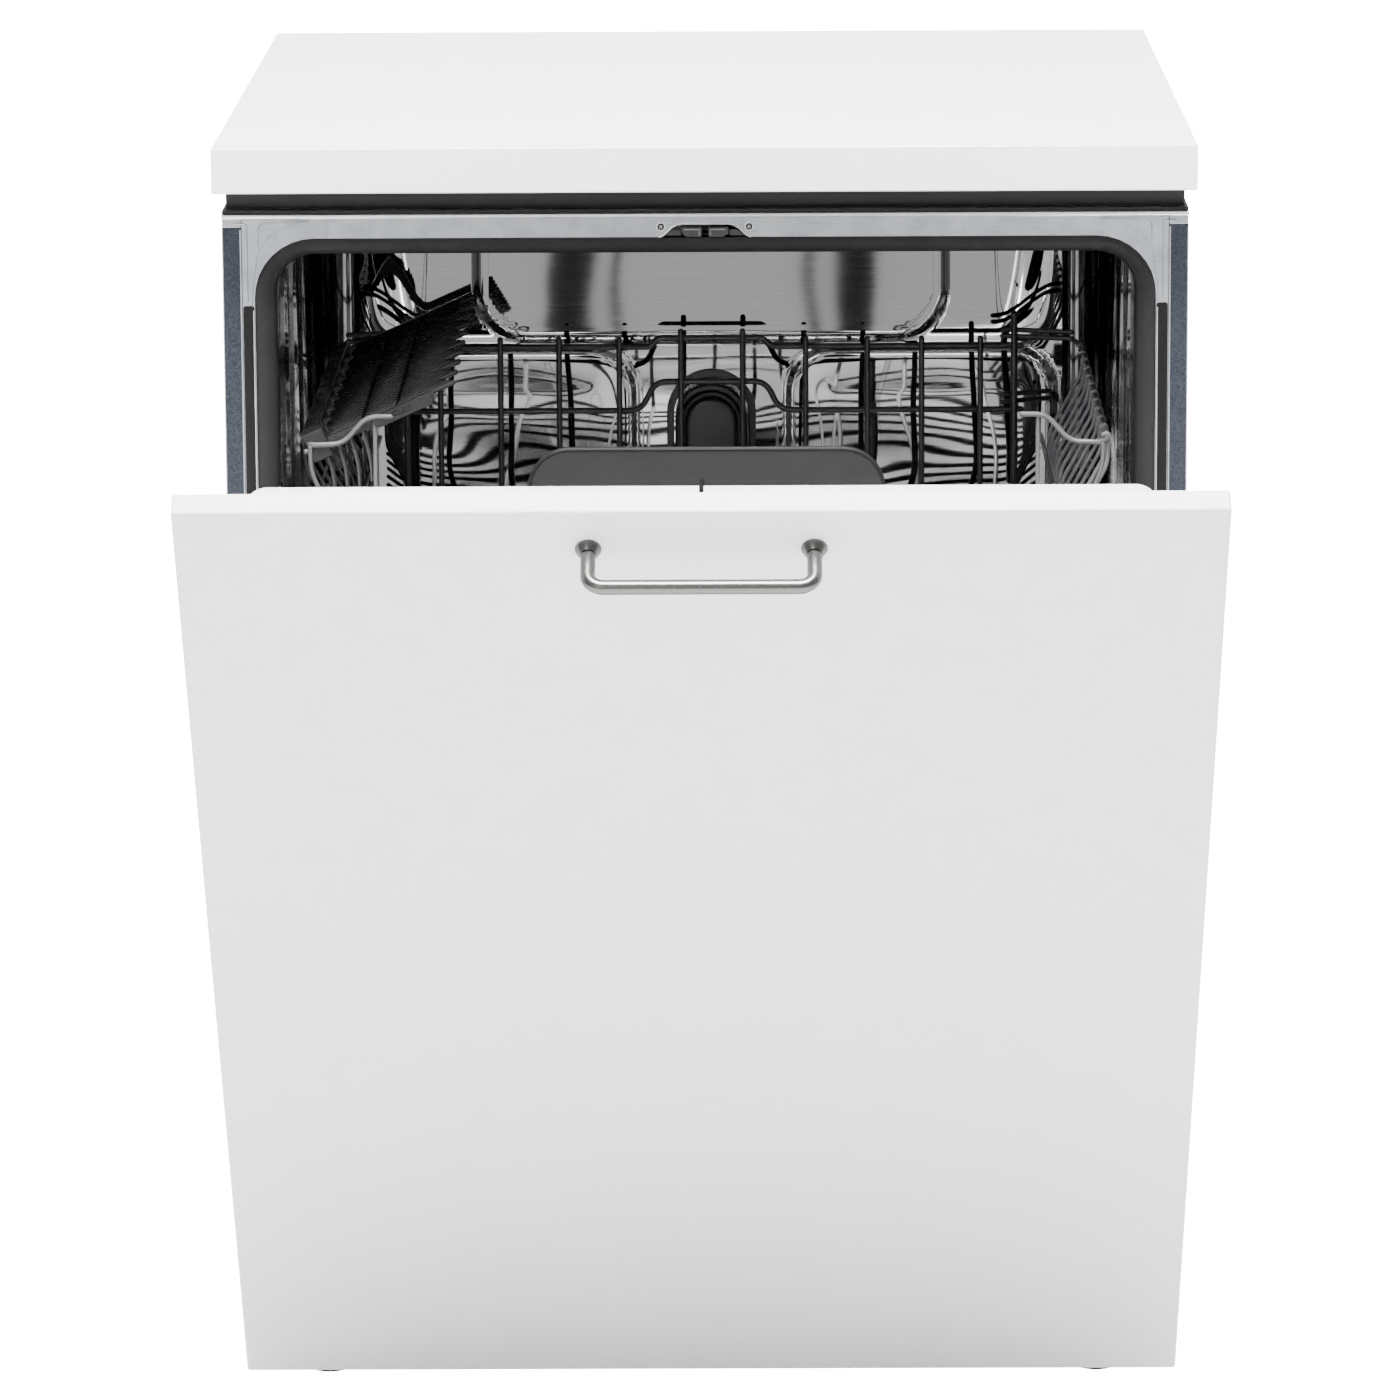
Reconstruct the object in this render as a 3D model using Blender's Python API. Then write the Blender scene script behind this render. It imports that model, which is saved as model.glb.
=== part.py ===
"""Built-in dishwasher with a worktop and a furniture front, its door partly open.

Helpers take millimetres. X runs to the right, Y to the back, measured from the plane
of the tub's front frame, and Z up from the floor. Objects are made in metres.
"""

import math

import bmesh
import bpy
from mathutils import Matrix, Vector

MM = 0.001
FRAME_Y = -75.35         # front-frame plane in the part's frame

WORKTOP_W = 604.0
WORKTOP_FRONT = -39.0
WORKTOP_BACK = 596.0
WORKTOP_Z = 820.0
WORKTOP_T = 28.0

BODY_HALF = 299.0        # outside of the side panels
BODY_BACK = 552.0
BODY_LOW = 145.0
BODY_TOP = 804.0
SHEET = 1.5

TUB_HALF = 272.0
TUB_LOW = 160.0
TUB_TOP = 786.0
TUB_BACK = 540.0
TUB_T = 3.0

DOOR_OPEN = 36.0         # degrees, stored pose
HINGE_Y = -8.0
HINGE_Z = 148.0
PANEL_SLIDE = 35.0       # mm of panel travel per radian of door
PANEL_FRONT = -33.0      # door shut
PANEL_T = 16.0
PANEL_LOW = 20.0
PANEL_H = 797.0
PANEL_W = 597.0
FASCIA_TOP = 817.5
LIP_BACK = 9.0

HANDLE_PITCH = 128.0
HANDLE_R = 4.3
HANDLE_OUT = 30.0
HANDLE_BEND = 9.0
HANDLE_DROP = 30.0

SUMP_Y = 300.0
SUMP_HOLE_R = 75.0
SALT = (-180.0, 430.0)
SALT_HOLE_R = 38.0

WHEEL_R = 18.0
WHEEL_Z = 178.6
AXLE_R = 3.9
WHEEL_YS = (115.0, 440.0)

FOOT_XY = ((-255.0, 202.0), (255.0, 202.0), (-255.0, 515.0), (255.0, 515.0))
FOOT_HOLE_R = 6.4

MATERIALS = {}


def material(name, rgb, metallic, roughness):
    mat = bpy.data.materials.new(name)
    mat.use_nodes = True
    bsdf = mat.node_tree.nodes["Principled BSDF"]
    bsdf.inputs["Base Color"].default_value = (*rgb, 1.0)
    bsdf.inputs["Metallic"].default_value = metallic
    bsdf.inputs["Roughness"].default_value = roughness
    return mat


# ---------------------------------------------------------------- shapes in mm

def circle(cx, cy, r, n=24):
    step = 2.0 * math.pi / n
    return [(cx + r * math.cos(i * step), cy + r * math.sin(i * step)) for i in range(n)]


def rounded(x0, x1, z0, z1, r, n=4):
    """Rounded rectangle, anticlockwise, n steps a corner."""
    points = []
    corners = ((x1 - r, z1 - r, 0), (x0 + r, z1 - r, 90), (x0 + r, z0 + r, 180), (x1 - r, z0 + r, 270))
    for cx, cz, start in corners:
        for i in range(n + 1):
            a = math.radians(start + 90.0 * i / n)
            points.append((cx + r * math.cos(a), cz + r * math.sin(a)))
    return points


def place(point, along, axis):
    u, v = point
    if axis == "X":
        return (along, u, v)
    if axis == "Y":
        return (u, along, v)
    return (u, v, along)


def loft(rings):
    """Closed skin through rings of equal length, capped at both ends."""
    n = len(rings[0])
    verts = [p for ring in rings for p in ring]
    faces = []
    for k in range(len(rings) - 1):
        for i in range(n):
            j = (i + 1) % n
            faces.append((k * n + i, k * n + j, (k + 1) * n + j, (k + 1) * n + i))
    faces.append(tuple(range(n)))
    last = (len(rings) - 1) * n
    faces.append(tuple(last + i for i in reversed(range(n))))
    return verts, faces


def ring_loft(rings):
    """Skin through rings, the last one joined back to the first."""
    n = len(rings[0])
    m = len(rings)
    verts = [p for ring in rings for p in ring]
    faces = []
    for k in range(m):
        for i in range(n):
            j = (i + 1) % n
            q = (k + 1) % m
            faces.append((k * n + i, k * n + j, q * n + j, q * n + i))
    return verts, faces


def prism(outline, axis, lo, hi):
    return loft([[place(p, lo, axis) for p in outline], [place(p, hi, axis) for p in outline]])


def block(x0, x1, y0, y1, z0, z1):
    return prism([(x0, y0), (x1, y0), (x1, y1), (x0, y1)], "Z", z0, z1)


def pipe_prism(outer, inner, axis, lo, hi):
    rings = []
    for outline, along in ((outer, lo), (outer, hi), (inner, hi), (inner, lo)):
        rings.append([place(p, along, axis) for p in outline])
    return ring_loft(rings)


def turned(profile, axis, centre, n=24, hollow=False):
    """Revolve (radius, along) pairs about a line through centre."""
    rings = []
    for r, along in profile:
        rings.append([place(p, along, axis) for p in circle(centre[0], centre[1], r, n)])
    return ring_loft(rings) if hollow else loft(rings)


def swept(path, r, n=12):
    """Round bar along a list of points."""
    points = [Vector(p) for p in path]
    tangents = []
    for i in range(len(points)):
        a = points[max(i - 1, 0)]
        b = points[min(i + 1, len(points) - 1)]
        tangents.append((b - a).normalized())
    side = tangents[0].orthogonal().normalized()
    rings = []
    for i, point in enumerate(points):
        t = tangents[i]
        side = (side - t * side.dot(t)).normalized()
        up = t.cross(side)
        rings.append([])
        for k in range(n):
            a = 2.0 * math.pi * k / n
            rings[-1].append(tuple(point + side * (r * math.cos(a)) + up * (r * math.sin(a))))
    return loft(rings)


def grid_box(x0, x1, y0, y1, z0, z1, nx, ny, nz):
    """Open-topped box of grid faces."""
    verts = {}
    faces = []

    def vert(i, j, k):
        key = (i, j, k)
        if key not in verts:
            verts[key] = len(verts)
        return verts[key]

    for i in range(nx):
        for j in range(ny):
            faces.append((vert(i, j, 0), vert(i + 1, j, 0), vert(i + 1, j + 1, 0), vert(i, j + 1, 0)))
    for k in range(nz):
        for i in range(nx):
            for j in (0, ny):
                faces.append((vert(i, j, k), vert(i + 1, j, k), vert(i + 1, j, k + 1), vert(i, j, k + 1)))
        for j in range(ny):
            for i in (0, nx):
                faces.append((vert(i, j, k), vert(i, j + 1, k), vert(i, j + 1, k + 1), vert(i, j, k + 1)))
    points = []
    for i, j, k in verts:
        points.append((x0 + (x1 - x0) * i / nx, y0 + (y1 - y0) * j / ny, z0 + (z1 - z0) * k / nz))
    return points, faces


# ------------------------------------------------------------------- objects

def pivot_matrix(pivot, tilt, lift):
    """World matrix of a body whose origin is on its joint's axis."""
    turn = Matrix.Rotation(math.radians(tilt), 4, "X")
    up = turn @ Vector((0.0, 0.0, lift * MM))
    spot = Vector((pivot[0] * MM, (pivot[1] + FRAME_Y) * MM, pivot[2] * MM))
    return Matrix.Translation(spot + up) @ turn


def mesh_object(name, shape, pivot):
    verts, faces = shape
    mesh = bpy.data.meshes.new(name)
    local = [tuple((c - p) * MM for c, p in zip(v, pivot)) for v in verts]
    mesh.from_pydata(local, [], faces)
    work = bmesh.new()
    work.from_mesh(mesh)
    bmesh.ops.recalc_face_normals(work, faces=work.faces)
    work.to_mesh(mesh)
    work.free()
    obj = bpy.data.objects.new(name, mesh)
    bpy.context.scene.collection.objects.link(obj)
    return obj


def baked(obj, modifiers_of):
    """Replace the object's mesh by its modified mesh and drop the helpers."""
    graph = bpy.context.evaluated_depsgraph_get()
    mesh = bpy.data.meshes.new_from_object(obj.evaluated_get(graph))
    mesh.name = obj.name
    obj.modifiers.clear()
    obj.data = mesh
    for helper in modifiers_of:
        bpy.data.objects.remove(helper)


def add(name, mat, shapes, cuts=(), pivot=(0.0, 0.0, 0.0), tilt=0.0, lift=0.0, smooth=False, bevel=0.0):
    """One closed body: the first shape, joined with the others, less the cuts."""
    obj = mesh_object(name, shapes[0], pivot)
    helpers = []
    for kind, extra in [("UNION", s) for s in shapes[1:]] + [("DIFFERENCE", c) for c in cuts]:
        helper = mesh_object(name + "_helper", extra, pivot)
        helper.hide_render = True
        helper.display_type = "WIRE"
        helpers.append(helper)
        step = obj.modifiers.new(kind, "BOOLEAN")
        step.operation = kind
        step.solver = "EXACT"
        step.object = helper
    if bevel:
        step = obj.modifiers.new("edges", "BEVEL")
        step.width = bevel * MM
        step.segments = 2
        step.limit_method = "ANGLE"
    bpy.context.view_layer.update()
    baked(obj, helpers)
    for polygon in obj.data.polygons:
        polygon.use_smooth = smooth
    obj.data.materials.clear()
    obj.data.materials.append(MATERIALS[mat])
    obj.matrix_world = pivot_matrix(pivot, tilt, lift)
    return obj


def add_lattice(name, mat, grid, bar, pivot):
    """Wire basket: square bars along the edges of a grid box."""
    obj = mesh_object(name, grid, pivot)
    wire = obj.modifiers.new("bars", "WIREFRAME")
    wire.thickness = bar * MM
    wire.use_boundary = True
    wire.use_replace = True
    wire.use_even_offset = False
    bpy.context.view_layer.update()
    baked(obj, [])
    obj.data.materials.clear()
    obj.data.materials.append(MATERIALS[mat])
    obj.matrix_world = pivot_matrix(pivot, 0.0, 0.0)
    return obj


# ------------------------------------------------------------------- cabinet

def xz_ring(x, z0, z1, r, y):
    return [(u, y, v) for u, v in rounded(-x, x, z0, z1, r)]


def make_tub():
    rings = []
    for y, inset, r in ((TUB_BACK, 28, 8), (TUB_BACK - 8, 8, 22), (TUB_BACK - 28, 0, 25), (16.3, 0, 25)):
        rings.append(xz_ring(TUB_HALF - inset, TUB_LOW + inset, TUB_TOP - inset, r, y))
    rings.append(xz_ring(286.0, 146.0, 792.0, 12, 16.3))
    rings.append(xz_ring(286.0, 146.0, 792.0, 12, 18.3))
    for y, inset, r in ((18.3, 0, 28), (TUB_BACK - 25, 0, 28), (TUB_BACK - 6, 8, 25), (TUB_BACK + TUB_T, 28, 11)):
        out = TUB_T - inset
        rings.append(xz_ring(TUB_HALF + out, TUB_LOW - out, TUB_TOP + out, r, y))
    cuts = [turned([(SUMP_HOLE_R, 150), (SUMP_HOLE_R, 165)], "Z", (0, SUMP_Y), 32),
            turned([(SALT_HOLE_R, 150), (SALT_HOLE_R, 165)], "Z", SALT, 24)]
    add("tub", "stainless", [loft(rings)], cuts)


def make_front_frame():
    outer = rounded(-286.7, 286.7, 143.5, BODY_TOP, 3)
    inner = rounded(-279, 279, 158, 787, 37)
    notch = prism([(-26, 780), (26, 780), (23, 800.5), (-23, 800.5)], "Y", -2, 6)
    tabs = [block(-BODY_HALF + 0.3, -284, 0, 3, 793.5, BODY_TOP), block(284, BODY_HALF - 0.3, 0, 3, 793.5, BODY_TOP)]
    add("front_frame", "galvanised", [pipe_prism(outer, inner, "Y", 0, 3), *tabs], [notch])
    seal_out = rounded(-278.6, 278.6, 158.4, 786.6, 36.9)
    seal_in = rounded(-266, 266, 171, 777, 24)
    add("door_gasket", "seal_rubber", [pipe_prism(seal_out, seal_in, "Y", -0.7, 16)])


def make_outer_panels():
    for side, label in ((-1, "left"), (1, "right")):
        h = BODY_HALF
        outline = [(h, 0), (287, 0), (287, SHEET), (h - SHEET, SHEET), (h - SHEET, BODY_BACK), (h, BODY_BACK)]
        outline = [(side * x, y) for x, y in outline]
        low, high = sorted((side * 285, side * 300))
        corner = block(low, high, -1, 3.3, 793.2, 806)
        add("side_panel_" + label, "dark_galvanised", [prism(outline, "Z", BODY_LOW, BODY_TOP)], [corner])
        rail = [(292, 789.4), (292, 791.4), (264, 791.4), (264, 819.7), (240, 819.7), (240, 817.7), (262, 817.7),
                (262, 789.4)]
        rail = [(side * x, z) for x, z in rail]
        add("worktop_bracket_" + label, "galvanised", [prism(rail, "Y", 50, 535)])
    h = BODY_HALF - SHEET - 0.3
    add("back_panel", "dark_galvanised", [block(-h, h, BODY_BACK + 0.3, BODY_BACK + 1.8, BODY_LOW, BODY_TOP)])
    top = block(-WORKTOP_W / 2, WORKTOP_W / 2, WORKTOP_FRONT, WORKTOP_BACK, WORKTOP_Z, WORKTOP_Z + WORKTOP_T)
    add("worktop", "white_laminate", [top], bevel=0.8)
    strip = block(-297.2, 297.2, 11, 31, 801, 819.7)
    add("trim_strip", "black_plastic", [strip], [block(-25, 25, 9, 15, 799, 803.2)])


def make_base():
    tray = block(-292, 292, 95, 550, 30, 156.7)
    cuts = [block(-289, 289, 98, 547, 33, 160)]
    for x, y in FOOT_XY:
        cuts.append(turned([(FOOT_HOLE_R, 25), (FOOT_HOLE_R, 40)], "Z", (x, y), 16))
    for x, r in ((-215, 14), (150, 12)):
        cuts.append(turned([(r, 540), (r, 560)], "Y", (x, 100), 20))
    cuts.append(block(203, 237, 540, 560, 86, 114))
    add("base_tray", "black_plastic", [tray], cuts)
    sump = [(0.5, 67), (60, 67), (76, 80), (76, 150), (95, 153), (95, 156.7), (72, 156.7), (72, 84), (58, 71),
            (0.5, 71)]
    add("sump", "grey_plastic", [turned(sump, "Z", (0, SUMP_Y), 32, hollow=True)])
    motor = [(8, 99), (50, 102), (55, 110), (55, 126), (44, 132), (44, 205), (38, 214), (12, 216)]
    add("circulation_pump", "grey_plastic", [turned(motor, "X", (SUMP_Y, 94), 24)])
    motor = [(6, -170), (26, -168), (26, -120), (36, -116), (36, -98), (14, -96)]
    add("drain_pump", "grey_plastic", [turned(motor, "X", (SUMP_Y, 92), 20)])
    tank = prism(rounded(-285, -110, 385, 500, 14), "Z", 36, 148)
    neck = turned([(34, 140), (34, 159.8)], "Z", SALT, 24)
    bore = turned([(26, 60), (26, 170)], "Z", SALT, 24)
    add("water_softener", "clear_grey_plastic", [tank, neck], [bore])
    weight = prism(rounded(-95, 110, 405, 540, 6, 2), "Z", 33.3, 110)
    add("counterweight", "cast_weight", [weight])


def make_connections():
    valve = block(-240, -190, 512, 546.7, 82, 118)
    nut = turned([(13, 540), (13, 572), (11, 574)], "Y", (-215, 100), 20)
    bore = turned([(8.5, 530), (8.5, 580)], "Y", (-215, 100), 20)
    add("water_inlet", "white_plastic", [valve, nut], [bore])
    spout = [(10.5, 500), (10.5, 545), (11, 546), (11, 570), (9.5, 578), (7.5, 578), (7.5, 500)]
    add("drain_outlet", "grey_plastic", [turned(spout, "Y", (150, 100), 20, hollow=True)])
    socket = block(203.5, 236.5, 522, 556, 86.5, 113.5)
    add("power_inlet", "black_plastic", [socket], [block(208, 232, 534, 560, 91, 109)])


def make_latch():
    body = block(-30, 30, 3.3, 46, 792.3, 800.7)
    tabs = [block(s * 13.5 - 6.5, s * 13.5 + 6.5, -0.5, 6, 788.5, 797.5) for s in (-1, 1)]
    slot = block(-3.5, 3.5, -3, 41, 792.9, 800.2)
    add("latch_housing", "grey_plastic", [body, *tabs], [slot])


def make_hinge_brackets():
    pivot = (HINGE_Y, HINGE_Z)
    outline = [(pivot[0] + 6.8 * math.cos(math.radians(a)), pivot[1] + 6.8 * math.sin(math.radians(a)))
               for a in range(180, 271, 15)]
    outline += [(-0.3, HINGE_Z - 6.8), (-0.3, HINGE_Z + 12), (HINGE_Y - 6, HINGE_Z + 12)]
    for side, label in ((-1, "left"), (1, "right")):
        plate = prism(outline, "X", side * 280, side * 284)
        pin = turned([(4.0, side * 267), (4.0, side * 282)], "X", pivot, 16)
        add("hinge_bracket_" + label, "galvanised", [plate, pin])


def make_feet():
    for (x, y), label in zip(FOOT_XY, ("front_left", "front_right", "back_left", "back_right")):
        shape = turned([(14, 0), (15.5, 1.5), (15.5, 6), (9, 8), (6, 9), (6, 92)], "Z", (x, y), 16)
        add("foot_" + label, "black_plastic", [shape], pivot=(x, y, 8.0))


def make_wash_system():
    arch = [(-32, 190), (32, 190), (32, 591)]
    arch += [(32 * math.cos(math.radians(a)), 591 + 32 * math.sin(math.radians(a))) for a in range(15, 180, 15)]
    arch += [(-32, 591)]
    add("feed_duct", "dark_plastic", [prism(arch, "Y", 521, 539.7)])
    cup = [(0.5, 92), (33, 92), (36, 150), (70, 157), (70, 160), (33, 160), (30, 95), (0.5, 95)]
    add("filter_cup", "grey_plastic", [turned(cup, "Z", (0, SUMP_Y), 24, hollow=True)], pivot=(0, SUMP_Y, 160))
    cap = [(22, 160.3), (32, 160.3), (32, 168), (30, 170), (12, 170), (10, 175), (6, 175)]
    add("salt_cap", "white_plastic", [turned(cap, "Z", SALT, 24)], pivot=(SALT[0], SALT[1], 165))
    cap = [(5, 160.4), (5, 168), (20, 169), (18, 175), (9, 178)]
    add("float", "white_plastic", [turned(cap, "Z", (210, 110), 16)], pivot=(210, 110, 165))
    spin_arm("lower_spray_arm", SUMP_Y, 177, 186, 161.0, 189)
    spin_arm("upper_spray_arm", 262.0, 477, 485, 474, 499.5)


def spin_arm(name, y, low, high, hub_low, hub_high):
    spine = ((70, 23, 2), (140, 20, 5), (195, 16, 10), (215, 10, 14))
    outline = [(-x, y - c - w) for x, w, c in reversed(spine)] + [(0, y - 24)]
    outline += [(x, y + c - w) for x, w, c in spine]
    outline += [(x, y + c + w) for x, w, c in reversed(spine)] + [(0, y + 24)]
    outline += [(-x, y - c + w) for x, w, c in spine]
    hub = turned([(17, hub_low), (19, hub_high - 3), (16, hub_high)], "Z", (0, y), 20)
    add(name, "grey_plastic", [prism(outline, "Z", low, high), hub], pivot=(0, y, low))


# ---------------------------------------------------------------------- door

def door(name, mat, shapes, cuts=(), pivot=(0.0, HINGE_Y, HINGE_Z), **more):
    """A body modelled with the door shut, then turned about the door's axis."""
    turn = Matrix.Rotation(math.radians(DOOR_OPEN), 3, "X")
    hinge = Vector((0.0, HINGE_Y, HINGE_Z))
    obj = add(name, mat, shapes, cuts, pivot, **more)
    spot = hinge + turn @ (Vector(pivot) - hinge)
    obj.matrix_world = pivot_matrix(spot, DOOR_OPEN, 0.0)
    return obj


def on_panel(name, mat, shapes, cuts=(), **more):
    """A piece of the furniture front, which climbs the door as it opens."""
    obj = door(name, mat, shapes, cuts, **more)
    lift = PANEL_SLIDE * math.radians(DOOR_OPEN)
    obj.matrix_world = pivot_matrix((0.0, HINGE_Y, HINGE_Z), DOOR_OPEN, lift)
    return obj


def make_door():
    sheet = block(-297, 297, -16.7, -15.2, 105, 803)
    returns = [block(s * 296.25 - 0.75, s * 296.25 + 0.75, -16, -2, 165, 779) for s in (-1, 1)]
    door("door_skin", "dark_galvanised", [sheet, *returns])
    rings = []
    for x, low, high, y, r in ((250, 183, 761, 7.5, 30), (253.5, 179.5, 764.5, 3, 33), (253.5, 179.5, 764.5, -3, 33),
                               (294, 168, 779, -3, 5), (294, 168, 779, -1.5, 5), (255, 178, 766, -1.5, 34),
                               (255, 178, 766, 4, 34), (251, 182, 762, 9, 31)):
        rings.append(xz_ring(x, low, high, r, y))
    door("door_liner", "stainless", [loft(rings)], [block(-80.3, 80.3, 5, 12, 429.7, 560.3)])
    lip = prism(rounded(-258, 258, -15, LIP_BACK, 11.5), "Z", 805.5, FASCIA_TOP)
    core = block(-290, 290, -14.9, -1.8, 781, 806.5)
    well = turned([(6.5, 809.5), (6.5, 822)], "Z", (-190, -4.0), 20)
    door("control_fascia", "light_plastic", [lip, core], [well])
    cap = turned([(6, 812.4), (6, 816.8), (5.4, 817.3)], "Z", (-190, -4.0), 20)
    door("power_button", "button_plastic", [cap], pivot=(-190, -4.0, 814.0))
    hook = [(-1.5, 793.4), (36, 793.4), (36, 797.6), (29, 797.6), (29, 796), (-1.5, 796)]
    door("striker", "chrome_steel", [prism(hook, "X", -2, 2)])


def make_hinge_arms():
    outline = []
    for a in range(180, 361, 20):
        outline.append((HINGE_Y + 6.4 * math.cos(math.radians(a)), HINGE_Z + 6.4 * math.sin(math.radians(a))))
    outline += [(-4, 168), (-4, 300), (HINGE_Y - 6.4, 300)]
    for side, label in ((-1, "left"), (1, "right")):
        hole = turned([(4.35, side * 265), (4.35, side * 285)], "X", (HINGE_Y, HINGE_Z), 16)
        door("hinge_arm_" + label, "galvanised", [prism(outline, "X", side * 271, side * 275)], [hole])


def make_dispenser():
    body = block(-80, 80, -10, 7.2, 430, 560)
    rim = prism(rounded(-86, 86, 424, 566, 8), "Y", 9.3, 10.8)
    neck = block(-79.9, 79.9, 7, 10, 430.1, 559.9)
    cup = prism(rounded(-70, 0, 442, 548, 10), "Y", -7, 15)
    tank = turned([(15, -6), (15, 15)], "Y", (42, 495), 24)
    door("dispenser_housing", "grey_plastic", [body, neck, rim], [cup, tank])
    lid = prism(rounded(-74, 4, 438, 552, 8), "Y", 11.1, 13.6)
    door("dispenser_lid", "light_plastic", [lid], pivot=(-74, 12.4, 495))
    cap = turned([(19, 11.1), (19, 13), (6, 13.3), (5, 16), (3, 16)], "Y", (42, 495), 24)
    door("rinse_cap", "light_plastic", [cap], pivot=(42, 12, 495))


def make_front_panel():
    high = PANEL_LOW + PANEL_H
    half = PANEL_W / 2
    slab = block(-half, half, PANEL_FRONT, PANEL_FRONT + PANEL_T, PANEL_LOW, high)
    on_panel("furniture_panel", "front_laminate", [slab], bevel=1.6)
    z = high - HANDLE_DROP
    x = HANDLE_PITCH / 2
    far = PANEL_FRONT - HANDLE_OUT
    path = [(-x, PANEL_FRONT - 0.3, z)]
    for a in range(0, 91, 15):
        c, s = math.cos(math.radians(a)), math.sin(math.radians(a))
        path.append((-x + HANDLE_BEND * (1 - c), far + HANDLE_BEND * (1 - s), z))
    path += [(-px, py, z) for px, py, _ in reversed(path)]
    on_panel("handle_bar", "brushed_nickel", [swept(path, HANDLE_R, 16)], smooth=True)
    for side, label in ((-1, "left"), (1, "right")):
        y = PANEL_FRONT - 0.3
        cone = [(7.5, y), (7.5, y - 1.2), (5.6, y - 5.0), (4.7, y - 5.0), (4.7, y)]
        shape = turned(cone, "Y", (side * x, z), 24, hollow=True)
        on_panel("handle_rosette_" + label, "brushed_nickel", [shape], smooth=True)


# ------------------------------------------------------------------- baskets

def make_upper_basket():
    grid = grid_box(-247, 247, 21, 478, 505, 640, 6, 7, 2)
    add_lattice("upper_basket", "grey_coated_wire", grid, 4.0, (0, 21, 640))
    plate = prism(rounded(-112, 112, 575, 653, 27, 6), "Y", 12.6, 18.2)
    grip = prism(rounded(-70, 70, 590, 626, 12), "Y", 10, 20)
    add("basket_handle_plate", "dark_plastic", [plate], [grip])
    shelf = []
    a = math.radians(24.0)
    for u, v in ((0, -2), (90, -2), (90, 2), (0, 2)):
        shelf.append((-250 + u * math.cos(a) - v * math.sin(a), 650 + u * math.sin(a) + v * math.cos(a)))
    cuts = []
    for i in range(8):
        y = 34 + i * 47.0
        cuts.append(block(-236, -180, y, y + 30, 630, 700))
    add("cup_shelf", "dark_plastic", [prism(shelf, "Y", 22, 412)], cuts, pivot=(-250, 22, 650))
    for side, label in ((-1, "left"), (1, "right")):
        rail = [(271.7, 570), (271.7, 592), (255, 592), (255, 586), (265, 586), (265, 576), (255, 576), (255, 570)]
        add("basket_rail_" + label, "stainless", [prism([(side * u, v) for u, v in rail], "Y", 40, 490)])


def make_lower_basket():
    grid = grid_box(-236, 236, 38, 508, 198, 380, 6, 6, 2)
    add_lattice("lower_basket", "grey_coated_wire", grid, 4.5, (0, 38, 198))
    for side, label in ((-1, "left"), (1, "right")):
        low, high = sorted((side * 238.8, side * 241.0))
        skirt = [(WHEEL_YS[0] - 8, 170.5), (WHEEL_YS[0] + 8, 170.5), (WHEEL_YS[0] + 22, 200), (WHEEL_YS[1] - 22, 200),
                 (WHEEL_YS[1] - 8, 170.5), (WHEEL_YS[1] + 8, 170.5), (WHEEL_YS[1] + 22, 212),
                 (WHEEL_YS[0] - 22, 212)]
        axles = [turned([(AXLE_R, side * 239.5), (AXLE_R, side * 252)], "X", (y, WHEEL_Z), 12) for y in WHEEL_YS]
        add("wheel_carrier_" + label, "grey_plastic", [prism(skirt, "X", low, high), *axles])
    for side, left in ((-1, "left"), (1, "right")):
        for y, front in zip(WHEEL_YS, ("front", "back")):
            rings = [(AXLE_R + 0.4, side * 241.5), (WHEEL_R - 2, side * 241.5), (WHEEL_R, side * 243),
                     (WHEEL_R, side * 249), (WHEEL_R - 2, side * 250.5), (AXLE_R + 0.4, side * 250.5)]
            shape = turned(rings, "X", (y, WHEEL_Z), 24, hollow=True)
            name = "wheel_" + front + "_" + left
            add(name, "grey_plastic", [shape], pivot=(side * 246, y, WHEEL_Z), smooth=False)
    comb = [(-205, 203), (70, 203), (70, 208)]
    for i in range(10):
        x = 66 - i * 29
        comb += [(x + 2, 208), (x + 2, 290), (x - 2, 290), (x - 2, 208)]
    comb += [(-205, 208)]
    add("plate_tines", "grey_coated_wire", [prism(comb, "Y", 318, 322)], pivot=(-67, 320, 205))
    outer = prism(rounded(118, 212, 62, 290, 8), "Z", 206, 330)
    pocket_a = prism(rounded(121, 209, 65, 174, 6), "Z", 209, 340)
    pocket_b = prism(rounded(121, 209, 178, 287, 6), "Z", 209, 340)
    legs = [(64.5, 315), (64.5, 350), (76, 361), (276, 361), (287.5, 350), (287.5, 315), (293, 315),
            (293, 353), (278, 367), (74, 367), (59, 353), (59, 315)]
    bail = prism(legs, "X", 162, 168)
    add("cutlery_basket", "grey_plastic", [outer, bail], [pocket_a, pocket_b], pivot=(165, 176, 206))


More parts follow.
